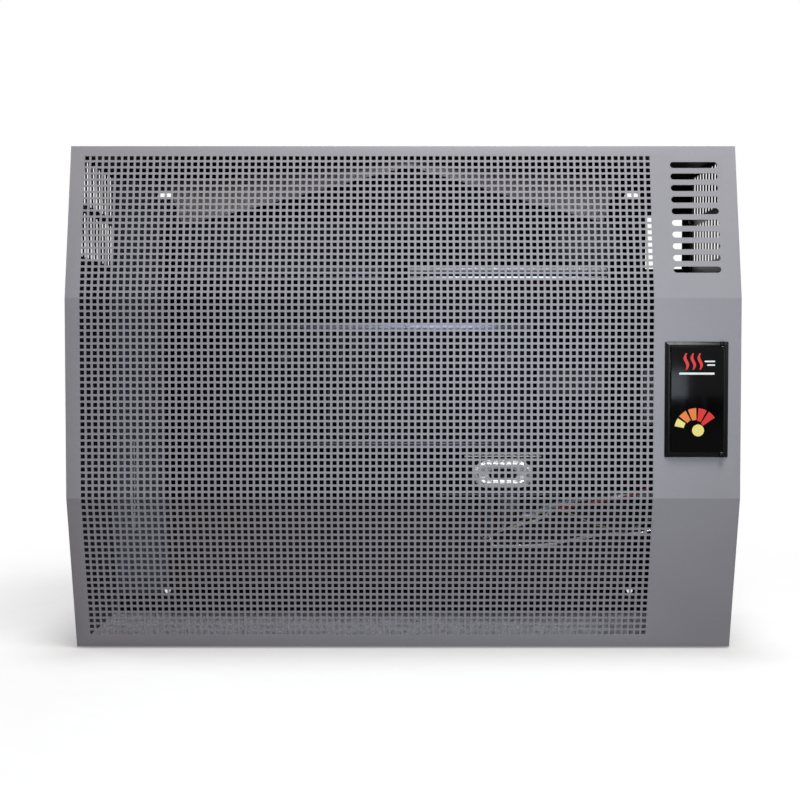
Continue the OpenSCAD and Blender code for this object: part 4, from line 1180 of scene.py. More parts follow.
@dataclass
class FrontSheet:
    """The perforated front: one sheet bent into three facets."""

    sheet: float = 1.0
    top_slope: float = 196.0
    top_lean: float = 10.0
    mid_height: float = 248.0
    bottom_slope: float = 200.0
    bottom_lean: float = 12.2
    bend_radius: float = 3.0
    bend_steps: int = 4
    edge_radius: float = 0.9
    pitch: float = 8.0
    hole: float = 5.3
    left_margin: float = 17.0
    strip_width: float = 107.0
    rows: tuple[int, int, int] = (23, 31, 23)
    slot: Spot = (59.0, 8.0)
    slot_count: int = 10
    slot_pitch: float = 15.0
    slot_drop: float = 25.0
    throat_play: float = 0.25
    throat_step: float = 8.5
    outside: Extent = node_box("front_panel")
    door: Extent = node_box("door_frame")

    def __post_init__(self) -> None:
        """Works out the unrolled sheet: s runs down it from the top edge."""
        self.half_width = self.outside.high.x
        self.bends = (self.top_slope, self.top_slope + self.mid_height)
        self.length = self.bends[1] + self.bottom_slope
        self.upper_z = self.outside.high.z - self.top_slope * math.cos(math.radians(self.top_lean))
        self.columns = int((2 * self.half_width - self.left_margin - self.strip_width) / self.pitch)
        self.mesh_left = -self.half_width + self.left_margin
        self.mesh_right = self.mesh_left + self.columns * self.pitch
        middle_rows = self.bends[0] + (self.mid_height - self.rows[1] * self.pitch) / 2
        self.blocks = (
            (self.bends[0] - self.rows[0] * self.pitch, self.rows[0]),
            (middle_rows, self.rows[1]), (self.bends[1], self.rows[2]),
        )

    def place(self, x: float, s: float, depth: float) -> Point:
        """Point of the bent sheet.

        Args:
            x: Place across the sheet.
            s: Place down the unrolled sheet from its top edge.
            depth: Distance behind its outer face.

        Returns:
            The point in the heater's frame.
        """
        upper, lower = self.bends
        front = self.outside.low.y
        lower_z = self.upper_z - self.mid_height
        turns = ((upper, self.upper_z, self.top_lean, 0.0), (lower, lower_z, 0.0, -self.bottom_lean))
        for bend, bend_z, lean_above, lean_below in turns:
            reach = self.bend_radius * math.tan(math.radians(lean_above - lean_below) / 2)
            if s < bend - reach:
                return self._on_facet(x, s - bend, depth, (front, bend_z), lean_above)
            if s <= bend + reach:
                share = (s - bend + reach) / (2 * reach)
                lean = lean_above + (lean_below - lean_above) * share
                start = self._on_facet(x, -reach, self.bend_radius, (front, bend_z), lean_above)
                turn = math.radians(lean)
                back = depth - self.bend_radius
                return (x, start[1] + back * math.cos(turn), start[2] - back * math.sin(turn))
        return self._on_facet(x, s - lower, depth, (front, lower_z), -self.bottom_lean)

    @staticmethod
    def _on_facet(x: float, run: float, depth: float, bend: Spot, lean: float) -> Point:
        """Point behind a flat facet that runs down from a bend at (y, z) and leans back."""
        sine, cosine = math.sin(math.radians(lean)), math.cos(math.radians(lean))
        return (x, bend[0] - run * sine + depth * cosine, bend[1] - run * cosine - depth * sine)

    def _block_lines(self, start: float, count: int) -> list[float]:
        """Edges of a run of holes, from its plain margin on one side to that on the other.

        Args:
            start: Where the run starts.
            count: Number of holes.

        Returns:
            The edges in order.
        """
        web = (self.pitch - self.hole) / 2
        lines = [start]
        for i in range(count):
            lines += [start + i * self.pitch + web, start + (i + 1) * self.pitch - web]
        return lines + [start + count * self.pitch]

    def _openings(self) -> list[list[Spot]]:
        """Outlines of the slots and of the access opening on the unrolled sheet.

        Returns:
            The outlines.
        """
        middle = (self.mesh_right + self.half_width) / 2
        outlines = []
        for i in range(self.slot_count):
            centre = (middle, self.slot_drop + i * self.slot_pitch)
            outlines.append(rounded_rectangle(centre, self.slot, self.slot[1] / 2, 10))
        play = 2 * self.throat_play - self.throat_step
        throat = (self.door.size.x + play, self.door.size.z + play)
        rise = self.door.middle.z - (self.upper_z - self.mid_height / 2)
        centre = (self.door.middle.x, self.bends[0] + self.mid_height / 2 - rise)
        outlines.append(rounded_rectangle(centre, throat, 0.8, 2))
        return outlines

    def _plain_part(self) -> tuple[list[Spot], list[tuple[int, ...]], list[list[Spot]], list[Spot]]:
        """Triangles of the sheet outside the perforation.

        Returns:
            Points, faces, the outlines of the openings, and the sheet's own outline.
        """
        edge = self.edge_radius
        low, high = (-self.half_width + edge, edge), (self.half_width - edge, self.length - edge)
        stations = [low[1], high[1]]
        for i, bend in enumerate(self.bends):
            lean = self.top_lean if i == 0 else self.bottom_lean
            reach = self.bend_radius * math.tan(math.radians(lean) / 2)
            stations += [bend - reach + 2 * reach * k / self.bend_steps for k in range(self.bend_steps + 1)]
        stations.sort()
        rim = [(high[0], s) for s in stations] + [(low[0], s) for s in reversed(stations)]
        openings = self._openings()
        columns = self._block_lines(self.mesh_left, self.columns)
        blocks = []
        for start, count in self.blocks:
            lines = self._block_lines(start, count)
            blocks.append(
                [(x, lines[0]) for x in columns]
                + [(columns[-1], s) for s in lines[1:]]
                + [(x, lines[-1]) for x in reversed(columns[:-1])]
                + [(columns[0], s) for s in reversed(lines[1:-1])]
            )
        spots: list[Vector] = []
        edges: list[tuple[int, int]] = []
        for loop in [rim, *openings, *blocks]:
            start = len(spots)
            spots += [Vector(spot) for spot in loop]
            edges += [(start + k, start + (k + 1) % len(loop)) for k in range(len(loop))]
        right = len(stations)
        edges += [(k, 2 * right - 1 - k) for k in range(1, right - 1)]
        made, _, faces, *_ = delaunay_2d_cdt(spots, edges, [], 0, 1e-4)
        kept = []
        for face in faces:
            middle = sum((made[i] for i in face), Vector((0.0, 0.0))) / len(face)
            if not any(self._inside(middle, loop) for loop in [*openings, *blocks]):
                kept.append(tuple(face))
        return [(spot.x, spot.y) for spot in made], kept, openings, rim

    @staticmethod
    def _inside(spot: Vector, loop: Sequence[Spot]) -> bool:
        """Tells if a spot lies in a loop.

        Args:
            spot: The spot.
            loop: Corners of the loop.

        Returns:
            True if it does.
        """
        found = False
        for (ax, ay), (bx, by) in zip(loop, [*loop[1:], loop[0]]):
            if (ay > spot.y) != (by > spot.y) and spot.x < (bx - ax) * (spot.y - ay) / (by - ay) + ax:
                found = not found
        return found

    def build(self) -> None:
        """Builds the sheet with its holes, slots and rounded rim."""
        drawing = Drawing()
        columns = self._block_lines(self.mesh_left, self.columns)
        for start, count in self.blocks:
            self._draw_block(drawing, columns, self._block_lines(start, count))
        spots, faces, openings, rim = self._plain_part()
        for depth in (0.0, self.sheet):
            drawing.patch([self.place(x, s, depth) for x, s in spots], faces)
        for loop in openings:
            drawing.loft([[self.place(x, s, d) for x, s in loop] for d in (0.0, self.sheet)])
            del drawing.faces[-2:]
        self._draw_rim(drawing, rim)
        add_piece(drawing, "front_sheet", CASING_PAINT, ["front_panel"], crease=28.0)

    def _draw_block(self, drawing: Drawing, columns: Sequence[float], lines: Sequence[float]) -> None:
        """Draws one perforated block.

        Args:
            drawing: Where it is drawn.
            columns: Edges of the holes across the sheet.
            lines: Edges of the holes down the sheet.
        """
        wide, high = len(columns), len(lines)
        points = [self.place(x, s, d) for d in (0.0, self.sheet) for s in lines for x in columns]
        faces = []
        for j in range(high - 1):
            for i in range(wide - 1):
                corners = [j * wide + i, j * wide + i + 1, (j + 1) * wide + i + 1, (j + 1) * wide + i]
                behind = [k + wide * high for k in corners]
                if i % 2 and j % 2:
                    sides = ((k, (k + 1) % 4) for k in range(4))
                    faces += [(corners[k], corners[m], behind[m], behind[k]) for k, m in sides]
                else:
                    faces += [tuple(corners), tuple(reversed(behind))]
        drawing.patch(points, faces)

    def _draw_rim(self, drawing: Drawing, rim: Sequence[Spot]) -> None:
        """Rolls the sheet's outer edge over.

        Args:
            drawing: Where it is drawn.
            rim: The sheet's outline, inside its rounded edge.
        """
        edge = self.edge_radius
        stations = [(edge * math.sin(a), edge * (1 - math.cos(a))) for a in (0, 0.4, 0.8, 1.2, math.pi / 2)]
        stations += [(edge, self.sheet), (0.0, self.sheet)]
        rings = []
        for out, depth in stations:
            ring = []
            for x, s in rim:
                wide = x + math.copysign(out, x)
                above, below = s < edge + TOUCH, s > self.length - edge - TOUCH
                ring.append(self.place(wide, s + out * (below - above), depth))
            rings.append(ring)
        drawing.loft(rings)
        del drawing.faces[-2:]


@dataclass
class Casing:
    """The casing: front sheet, sides, top, bottom and the screws that hold it."""

    front: FrontSheet = field(default_factory=FrontSheet)
    sheet: float = 1.0
    hem: float = 6.0
    hem_y: float = -19.5
    top: Extent = node_box("top_panel")
    screws: Extent = node_box("casing_screws")
    screw_spots: Spot = (-9.0, 248.25)
    slot_half: Spot = (1.0, 1.9)
    slot_depth: float = 0.3
    slot_land: float = 1.6

    def build(self) -> None:
        """Builds and dresses the casing."""
        self.front.build()
        self._top()
        dress(SIDE_PAINT, 0.2, "left_side_panel", "right_side_panel")
        dress(FOOT_PAINT, 0.2, "bottom_panel")
        self._screws()

    def _top(self) -> None:
        """Top panel with a turned-down hem in front of the wall frame's lip."""
        box, sheet = self.top, self.sheet
        top, under = box.high.z, box.high.z - sheet
        profile = [
            (box.low.y, top), (box.low.y, under), (self.hem_y - 0.6, under),
            (self.hem_y, under - 0.6), (self.hem_y, under - self.hem),
            (self.hem_y + sheet, under - self.hem), (self.hem_y + sheet, under),
            (box.high.y, under), (box.high.y, top),
        ]
        drawing = Drawing()
        drawing.prism(profile, box.low.x, box.high.x, Axis.X, 0.15)
        add_piece(drawing, "top_sheet", TOP_PAINT, ["top_panel"])

    def _screws(self) -> None:
        """Pan-head screws with a slot, two on each side."""
        drawing = Drawing()
        y, z = self.screw_spots
        out, seat = self.screws.high.x, self.front.half_width
        head = seat + 0.02
        for side in (-1, 1):
            for height in (-z, z):
                rings = [(4.0, head), (4.0, head + 0.7), (3.7, head + 1.2), (2.9, out - 0.15), (2.7, out)]
                profile = [(1.9, seat - 5.5), (1.9, head), *rings, (0.0, out - 0.1)]
                drawing.turned([(r, side * x) for r, x in profile], (y, height), Axis.X, 28)
                wide, high = self.slot_half
                foot, face = sorted((side * (out - self.slot_depth), side * out))
                for land in (y - self.slot_land, y + self.slot_land):
                    low = (foot, land - wide, height - high)
                    drawing.bar(low, (face, land + wide, height + high), 0.12, Axis.X)
        add_piece(drawing, "casing_pan_screws", ZINC, ["casing_screws"])


@dataclass
class AccessDoor:
    """The black door over the controls, its frame, pins and catch."""

    border: float = 6.0
    slope_width: float = 4.3
    corner: float = 1.2
    least_corner: float = 0.35
    throat_wall: float = 1.75
    throat_depth: float = 6.0
    knuckle: float = 2.0
    print_depth: float = 0.05
    air_lines: Point = (-13.0, -4.5, 4.0)
    line_span: Spot = (37.0, 57.0)
    line_width: float = 4.2
    bars: tuple[tuple[Spot, Spot], ...] = (
        ((32.0, 0.0), (2.6, 44.0)),
        ((47.0, 16.0), (1.8, 13.0)),
        ((42.5, 17.5), (1.8, 10.0)),
    )
    sway: float = 1.7
    fan: Spot = (-38.0, 0.0)
    fan_radius: float = 27.5
    fan_start: float = 158.0
    hub: Spot = (16.0, 1.5)
    dot: float = 7.4
    blade: float = 22.0
    blade_pitch: float = 28.0
    frame_box: Extent = node_box("door_frame")
    leaf_box: Extent = node_box("access_door")

    def build(self) -> None:
        """Builds the frame and the door, and dresses the rest."""
        self._frame()
        self._leaf()
        self._prints()
        dress(ZINC, 0.15, "door_hinge_pins")
        dress(DARK_PLASTIC, 0.4, "door_catch")

    def _frame(self) -> None:
        """Frame with a sloping border, a throat behind it and two hinge ears."""
        box = self.frame_box
        middle = (box.middle.z, box.middle.x)
        size = (box.size.z, box.size.x)
        back = box.high.y - self.throat_depth
        face = back - 4.0
        stations = [
            (0.0, back), (0.0, back - 0.6), (0.4, back - 1.0),
            (self.slope_width - 0.4, face + 0.3), (self.slope_width, face + 0.08),
            (self.slope_width + 0.5, face), (self.border - 0.4, face),
            (self.border - 0.1, face + 0.1), (self.border, face + 0.4), (self.border, box.high.y),
            (self.border - self.throat_wall, box.high.y), (self.border - self.throat_wall, back),
        ]
        drawing = Drawing()
        rings = []
        for depth, y in stations:
            here = (size[0] - 2 * depth, size[1] - 2 * depth)
            outline = rounded_rectangle(middle, here, max(self.corner - depth, self.least_corner), 3)
            rings.append([Axis.Y.lift(spot, y) for spot in outline])
        drawing.loft(rings, closed=True)
        hinge = self.leaf_box.high.x - self.knuckle
        ear = self.knuckle + 0.5
        for side in (-1, 1):
            ends = sorted((side * box.high.z, side * (box.high.z - self.border)))
            drawing.bar((hinge - ear, box.low.y, ends[0]), (hinge + ear, back, ends[1]), 0.7, Axis.Z)
        add_piece(drawing, "door_bezel", BLACK_FRAME, ["door_frame"])

    def _leaf(self) -> None:
        """Door with soft edges and a round knuckle along its hinge."""
        box = self.leaf_box
        front, back, left = box.low.y + self.print_depth, box.high.y, box.low.x
        hinge = box.high.x - self.knuckle
        soft = 0.9
        outline = (
            arc((left + soft, front + soft), soft, 180, 270, 4)
            + arc((hinge, front + self.knuckle), self.knuckle, 270, 450, 12)
            + arc((left + soft, back - soft), soft, 90, 180, 4)
        )
        drawing = Drawing()
        drawing.prism(outline, box.low.z, box.high.z, Axis.Z, 0.45)
        add_piece(drawing, "door_leaf", BLACK_GLOSS, ["access_door"], Body.DOOR)

    def _plate(self, drawing: Drawing, outline: Sequence[Spot]) -> None:
        """Adds a print's flat shape on the door's face.

        Args:
            drawing: Where it is drawn.
            outline: Anticlockwise outline in (z, x), measured from the door's middle.
        """
        box = self.leaf_box
        placed = [(box.middle.z + z, box.middle.x - self.knuckle / 2 + x) for z, x in outline]
        drawing.prism(placed, box.low.y, box.low.y + 2 * self.print_depth, Axis.Y)

    def _wave(self, drawing: Drawing, x: float) -> None:
        """Adds one line of rising warm air.

        Args:
            drawing: Where it is drawn.
            x: Middle of the line.
        """
        low, high = self.line_span
        count = 18
        right, left = [], []
        for i in range(count + 1):
            share = i / count
            sway = self.sway * math.sin(2 * math.pi * share)
            half = self.line_width / 2 * (0.35 + 0.65 * math.sin(math.pi * min(max(share, 0.08), 0.92)))
            z = low + (high - low) * share
            right.append((z, x + sway + half))
            left.append((z, x + sway - half))
        self._plate(drawing, left + right[::-1])

    def _prints(self) -> None:
        """Prints a plain warmth design: air lines over a level bar, and a stepped fan with a dot."""
        red, white, orange, yellow = Drawing(), Drawing(), Drawing(), Drawing()
        for x in self.air_lines:
            self._wave(red, x)
        for spot, size in self.bars:
            self._plate(white, rounded_rectangle(spot, size, size[0] / 2, 4))
        fan, half = self.fan, self.blade / 2
        for i, drawing in enumerate((yellow, orange, orange, red, red)):
            turn = self.fan_start - self.blade_pitch * i
            outer = arc(fan, self.fan_radius, turn - half, turn + half, 6)
            inner = arc(fan, self.hub[0] - self.hub[1] * i, turn + half, turn - half, 6)
            self._plate(drawing, self._turned_fan(outer + inner))
        self._plate(yellow, self._turned_fan(arc((fan[0] + 2.0, fan[1]), self.dot, 0, 345, 23)))
        add_piece(red, "door_print_red", RED_PRINT, body=Body.DOOR)
        add_piece(white, "door_print_white", WHITE_PRINT, body=Body.DOOR)
        add_piece(orange, "door_print_orange", ORANGE_PRINT, body=Body.DOOR)
        add_piece(yellow, "door_print_yellow", YELLOW_PRINT, body=Body.DOOR)

    def _turned_fan(self, outline: Sequence[Spot]) -> list[Spot]:
        """Swaps an outline drawn round the fan's middle from (across, up) to (up, across)."""
        up, across = self.fan
        return [(up + (b - across), across + (a - up)) for a, b in reversed(outline)]


# ---- Wall frame ----


@dataclass
class WallFrame:
    """Rear panel, rails, radiation shield and the casing clip."""

    wire: float = 1.5
    clip_bend: float = 4.0
    clip_box: Extent = node_box("casing_clip")

    def build(self) -> None:
        """Dresses the sheet parts and bends the clip."""
        dress(FRAME_STEEL, 0.0, "rear_panel")
        dress(FRAME_STEEL, 0.3, "hanging_rail")
        dress(PAINTED_SHADE_RAIL, 0.3, "lower_rail")
        dress(SHIELD_STEEL, 0.25, "radiation_shield")
        self._clip()

    def _clip(self) -> None:
        """Upright wire whose two ends turn back to the panel."""
        box, bend = self.clip_box, self.clip_bend
        x, front = box.middle.x, box.low.y + self.wire
        back, top, foot = box.high.y, box.high.z - self.wire, box.low.z + self.wire
        upper = arc((front + bend, top - bend), bend, 90, 180, 6)
        lower = arc((front + bend, foot + bend), bend, 180, 270, 6)
        path = [(x, back, top), *((x, y, z) for y, z in upper + lower), (x, back, foot)]
        drawing = Drawing()
        drawing.tube(path, self.wire)
        add_piece(drawing, "casing_clip_wire", BRIGHT_WIRE, ["casing_clip"])


# ---- Heat exchanger ----


@dataclass
class FinnedCover:
    """Cast cover with two rows of fins, lips and a rib."""

    plate: float = 6.0
    lip: float = 3.0
    lip_web: float = 7.0
    lip_depth: float = 7.0
    rib: float = 2.0
    rib_depth: float = 3.0
    fin: float = 3.0
    fin_depth: float = 16.0
    fin_pitch: float = 16.6
    fin_count: int = 14
    margin: float = 10.0
    row_gap: float = 9.0
    box: Extent = node_box("finned_cover")

    def build(self) -> None:
        """Builds the cover."""
        low, high, middle = self.box.low, self.box.high, self.box.middle
        face = high.y - self.plate
        drawing = Drawing()
        drawing.bar((low.x, face, low.z), (high.x, high.y, high.z), 1.6)
        for z in (low.z, high.z - self.lip):
            drawing.bar((low.x, face - self.lip_depth, z), (high.x, face + 1, z + self.lip), 1.2, Axis.X)
        web = (face - self.lip_depth, high.z - self.lip_web)
        drawing.bar((low.x, web[0], web[1]), (high.x, web[0] + self.lip, high.z), 1.2, Axis.X)
        start = (low.x + self.margin, face - self.rib_depth, middle.z - self.rib / 2)
        end = (high.x - self.margin, face + 1, middle.z + self.rib / 2)
        drawing.bar(start, end, 0.8, Axis.X)
        height = (self.box.size.z - 2 * self.margin - self.row_gap) / 2
        for row in range(2):
            foot = high.z - self.margin - height - row * (height + self.row_gap)
            for i in range(self.fin_count):
                x = middle.x + (i - (self.fin_count - 1) / 2) * self.fin_pitch
                self._fin(drawing, x, face, foot, height)
        add_piece(drawing, "cast_finned_cover", CAST_COVER, ["finned_cover"])

    def _fin(self, drawing: Drawing, x: float, face: float, foot: float, height: float) -> None:
        """Adds one fin, thicker at its root.

        Args:
            drawing: Where it is drawn.
            x: Middle of the fin.
            face: Front of the plate.
            foot: Its lower end.
            height: Its height.
        """
        tip = face - self.fin_depth
        half, root = self.fin / 2 - 0.4, self.fin / 2 + 0.5
        section = [(x - root, face + 1), (x - root, face - 0.5), (x - half, face - 2.5)]
        section += arc((x, tip + half), half, 180, 360, 6)
        section += [(x + half, face - 2.5), (x + root, face - 0.5), (x + root, face + 1)]
        drawing.prism(section, foot, foot + height, Axis.Z, 0.8)


@dataclass
class ConvectorPlate:
    """Sheet plate with a folded rail at its head, a lip at its foot and upright fins."""

    side: str
    finish: Finish
    sheet: float = 1.0
    bend: float = 2.2
    rail: float = 14.6
    fin_inset: float = 3.0
    fin_pitch: float = 24.0

    def build(self) -> None:
        """Builds the plate."""
        node = f"{self.side}_convector_plate"
        box, sheet = Extent.of(node), self.sheet
        low, high = box.low, box.high
        face, bend = high.y - sheet, self.bend
        drawing = Drawing()
        drawing.bar((low.x, face, low.z), (high.x, high.y, high.z), 0.25)
        drawing.bar((low.x, low.y, low.z), (high.x, face + 0.5, low.z + sheet), 0.4, Axis.X)
        foot = high.z - self.rail
        outer = arc((low.y + bend, high.z - bend), bend, 90, 180, 5)
        inner = arc((low.y + bend, high.z - bend), bend - sheet, 180, 90, 5)
        hem = arc((low.y + sheet / 2, foot + sheet / 2), sheet / 2, 180, 360, 6)
        outline = [(face + 0.5, high.z), *outer, *hem, *inner, (face + 0.5, high.z - sheet)]
        drawing.prism(outline, low.x, high.x, Axis.X, 0.2)
        count = int((high.x - low.x) / self.fin_pitch)
        first = (low.x + high.x - (count - 1) * self.fin_pitch - sheet) / 2
        for i in range(count):
            x = first + i * self.fin_pitch
            start = (x, low.y + self.fin_inset, low.z + sheet)
            drawing.bar(start, (x + sheet, face + 0.5, high.z - sheet), 0.3, Axis.Z)
        add_piece(drawing, f"{self.side}_lipped_plate", self.finish, [node])


@dataclass
class HeatExchanger:
    """Welded exchanger shells, the plates and covers on them and their fixings."""

    cover: FinnedCover = field(default_factory=FinnedCover)
    bolts: Extent = node_box("cover_bolts")
    bolt_across: float = 13.0
    bolt_head: float = 5.5
    washer: Spot = (6.4, 0.5)
    shank: float = 4.0

    def build(self) -> None:
        """Builds the cover and its bolts, and dresses the rest."""
        dress(EXCHANGER, 0.5, "exchanger_rear_shell", "exchanger_front_shell")
        ConvectorPlate("left", SHADED_LIPS_ENAMEL).build()
        ConvectorPlate("right", LIPPED_ENAMEL).build()
        dress(DULL_ZINC, 0.3, "exchanger_brackets")
        dress(SCORCHED, 0.3, "flue_baffle")
        dress(GASKET, 0.0, "cover_gasket")
        dress(PLAIN_STEEL, 0.3, "port_cover")
        self.cover.build()
        self._bolts()

    def _bolts(self) -> None:
        """Two hexagon bolts with washer faces."""
        drawing = Drawing()
        box = self.bolts
        half = self.bolt_across / 2 / math.cos(math.radians(30))
        for x in (box.low.x + half, box.high.x - half):
            middle = (box.middle.z, x)
            seat = box.low.y + self.bolt_head
            drawing.hexagon(self.bolt_across, box.low.y, seat - 0.4, middle, Axis.Y)
            rim, thick = self.washer
            face = [(0, seat - 0.6), (rim, seat - thick), (rim, seat), (0, seat)]
            drawing.turned(face, middle, Axis.Y, 32)
            end = [(self.shank, box.high.y - 1), (self.shank - 1, box.high.y)]
            drawing.turned([(0, seat - 1), (self.shank, seat), *end], middle, Axis.Y, 24)
        add_piece(drawing, "cover_hex_bolts", DULL_ZINC, ["cover_bolts"])


@dataclass
class SightWindow:
    """Gasket, frame, glass, bright ring and screws of the sight window."""

    ring_box: Extent = node_box("sight_ring")
    hole: Spot = (37.0, 15.0)
    glass: Spot = (52.6, 30.6)
    glass_depth: float = 3.05
    screw_x: float = 32.0
    screw_radii: Spot = (2.6, 1.5)

    def build(self) -> None:
        """Builds the ring and the screws, and dresses the rest."""
        dress(GASKET, 0.0, "sight_gasket")
        dress(SIGHT_ENAMEL, 0.25, "sight_frame")
        dress(SIGHT_GLASS, 0.0, "sight_glass")
        self._ring()
        self._screws()

    def _obround(self, wide: float, high: float, y: float) -> list[Point]:
        """Round-ended outline at one depth, in 56 points."""
        middle, radius = (self.ring_box.middle.z, self.ring_box.middle.x), min(wide, high) / 2
        return [Axis.Y.lift(spot, y) for spot in rounded_rectangle(middle, (high, wide), radius, 13)]

    def _ring(self) -> None:
        """Ring with a rolled outer edge, a sloping mouth and a seat for the glass."""
        box = self.ring_box
        wide, high = box.size.x, box.size.z
        front, back = box.low.y, box.high.y
        seat = back - self.glass_depth
        stations = [
            (0.0, back, 0), (0.0, front + 1.8, 0), (0.5, front + 0.6, 0), (1.5, front, 0),
            (8.0, front, 0), (9.0, front + 0.3, 0), (0.6, front + 1.4, 1), (0.0, front + 2.0, 1),
            (0.0, seat, 1), (0.0, seat, 2), (0.0, back, 2),
        ]
        forms = (((wide, high), -2), (self.hole, 2), (self.glass, 0))
        rings = []
        for depth, y, which in stations:
            (across, up), grow = forms[which]
            rings.append(self._obround(across + grow * depth, up + grow * depth, y))
        drawing = Drawing()
        drawing.loft(rings, closed=True)
        add_piece(drawing, "sight_window_ring", POLISHED, ["sight_ring"])

    def _screws(self) -> None:
        """Two round-head screws."""
        box = Extent.of("sight_screws")
        drawing = Drawing()
        for side in (-1, 1):
            middle = (self.ring_box.middle.z, self.ring_box.middle.x + side * self.screw_x)
            seat = self.ring_box.low.y
            dome = [(0, box.low.y), (1.2, box.low.y + 0.1), (2.1, box.low.y + 0.6)]
            head, shank = self.screw_radii
            profile = [*dome, (head, seat - 0.4), (head, seat), (shank, seat), (shank, box.high.y)]
            drawing.turned(profile, middle, Axis.Y, 24)
        add_piece(drawing, "sight_window_screws", ZINC, ["sight_screws"])


# ---- Flue and deflector ----


@dataclass
class Flue:
    """Flue outlet, its gasket, the air box and the intake collar."""

    edge: float = 0.3

    def build(self) -> None:
        """Dresses the flue parts."""
        dress(GASKET, 0.0, "flue_gasket")
        dress(BRIGHT_ALUMINIUM, self.edge, "flue_spigot")
        dress(DUCT_STEEL, self.edge, "air_box", "air_collar")


@dataclass
class Deflector:
    """The two wings that throw the warm air forward, and their arms."""

    sheet: float = 1.0
    ridge_x: float = 8.0
    ridge_z: float = 303.25
    fall: float = 0.087
    lean: float = 0.411
    front_y: float = -192.0
    root: float = 5.0
    hem: Spot = (2.0, 6.0)
    steps: int = 12
    # Painted light and shade of the wings: pale for the lit rear edge, brown for the shaded front.
    pale: Colour = display(255, 244, 238)
    burnt_and_shade: Colour = display(92, 76, 70)
    left: Extent = node_box("left_deflector")
    right: Extent = node_box("right_deflector")

    def build(self) -> None:
        """Builds the wings and dresses their arms."""
        left, right = self.left, self.right
        ends = (("left", left.low.x, left.high.y), ("right", right.high.x, right.high.y))
        for side, tip, rear in ends:
            spread = (rear - self.front_y - self.root) / abs(tip - self.ridge_x)
            finish = WingSheet(
                f"{side}_deflector_sheet", "deflector_paint", self.pale, self.burnt_and_shade,
                self.ridge_x, self.front_y, self.root, spread,
            )
            add_piece(self._wing(tip, rear), f"{side}_wing", finish, [f"{side}_deflector"])
        dress(DULL_ZINC, 0.25, "deflector_brackets")

    def _height(self, x: float, y: float) -> float:
        """Height of a wing's upper face."""
        return self.ridge_z - self.fall * abs(x - self.ridge_x) - self.lean * (y - self.front_y)

    def _wing(self, tip_x: float, tip_y: float) -> Drawing:
        """One wing: a slanting sheet with a hem turned down along its rear edge.

        Args:
            tip_x: Outer end of the wing.
            tip_y: Rear corner at its outer end.

        Returns:
            The drawn wing.
        """
        drawing = Drawing()
        rings = []
        for i in range(self.steps + 1):
            share = i / self.steps
            x = self.ridge_x + (tip_x - self.ridge_x) * share
            rear = self.front_y + self.root + (tip_y - self.front_y - self.root) * share
            front = self.front_y
            hem = self.hem[0] + (self.hem[1] - self.hem[0]) * min(1.0, share * 1.6)
            inner = rear - self.sheet
            section = (
                (front, self.sheet), (front, 0.25), (front + 0.3, 0.0), (rear - 0.5, 0.0),
                (rear, 0.5), (rear, self.sheet + hem), (inner, self.sheet + hem),
                (inner, self.sheet),
            )
            rings.append([(x, y, self._height(x, y) - drop) for y, drop in section])
        drawing.loft(rings)
        return drawing


# ---- Burner and tubing ----


@dataclass
class Burner:
    """Burner tube, injector, pilot group and their carrier."""

    edge: float = 0.3

    def build(self) -> None:
        """Dresses the burner group."""
        dress(ZINC, self.edge, "burner_carrier")
        dress(BURNER_STEEL, 0.0, "main_burner")
        dress(DULL_BRASS, self.edge, "gas_injector")
        dress(DULL_ZINC, self.edge, "pilot_burner")
        dress(DULL_COPPER, self.edge, "thermocouple")
        dress(CERAMIC, 0.0, "ignition_electrode")
        dress(DULL_COPPER, self.edge, "thermostat_bulb")
        dress(DULL_ZINC, 0.0, "bulb_clips")


@dataclass(frozen=True)
class Route:
    """One tube or lead: its node, size, finish, union nut and the points that it passes through."""

    name: str
    node: str
    radius: float
    finish: Finish
    nut: float
    points: tuple[Point, ...]


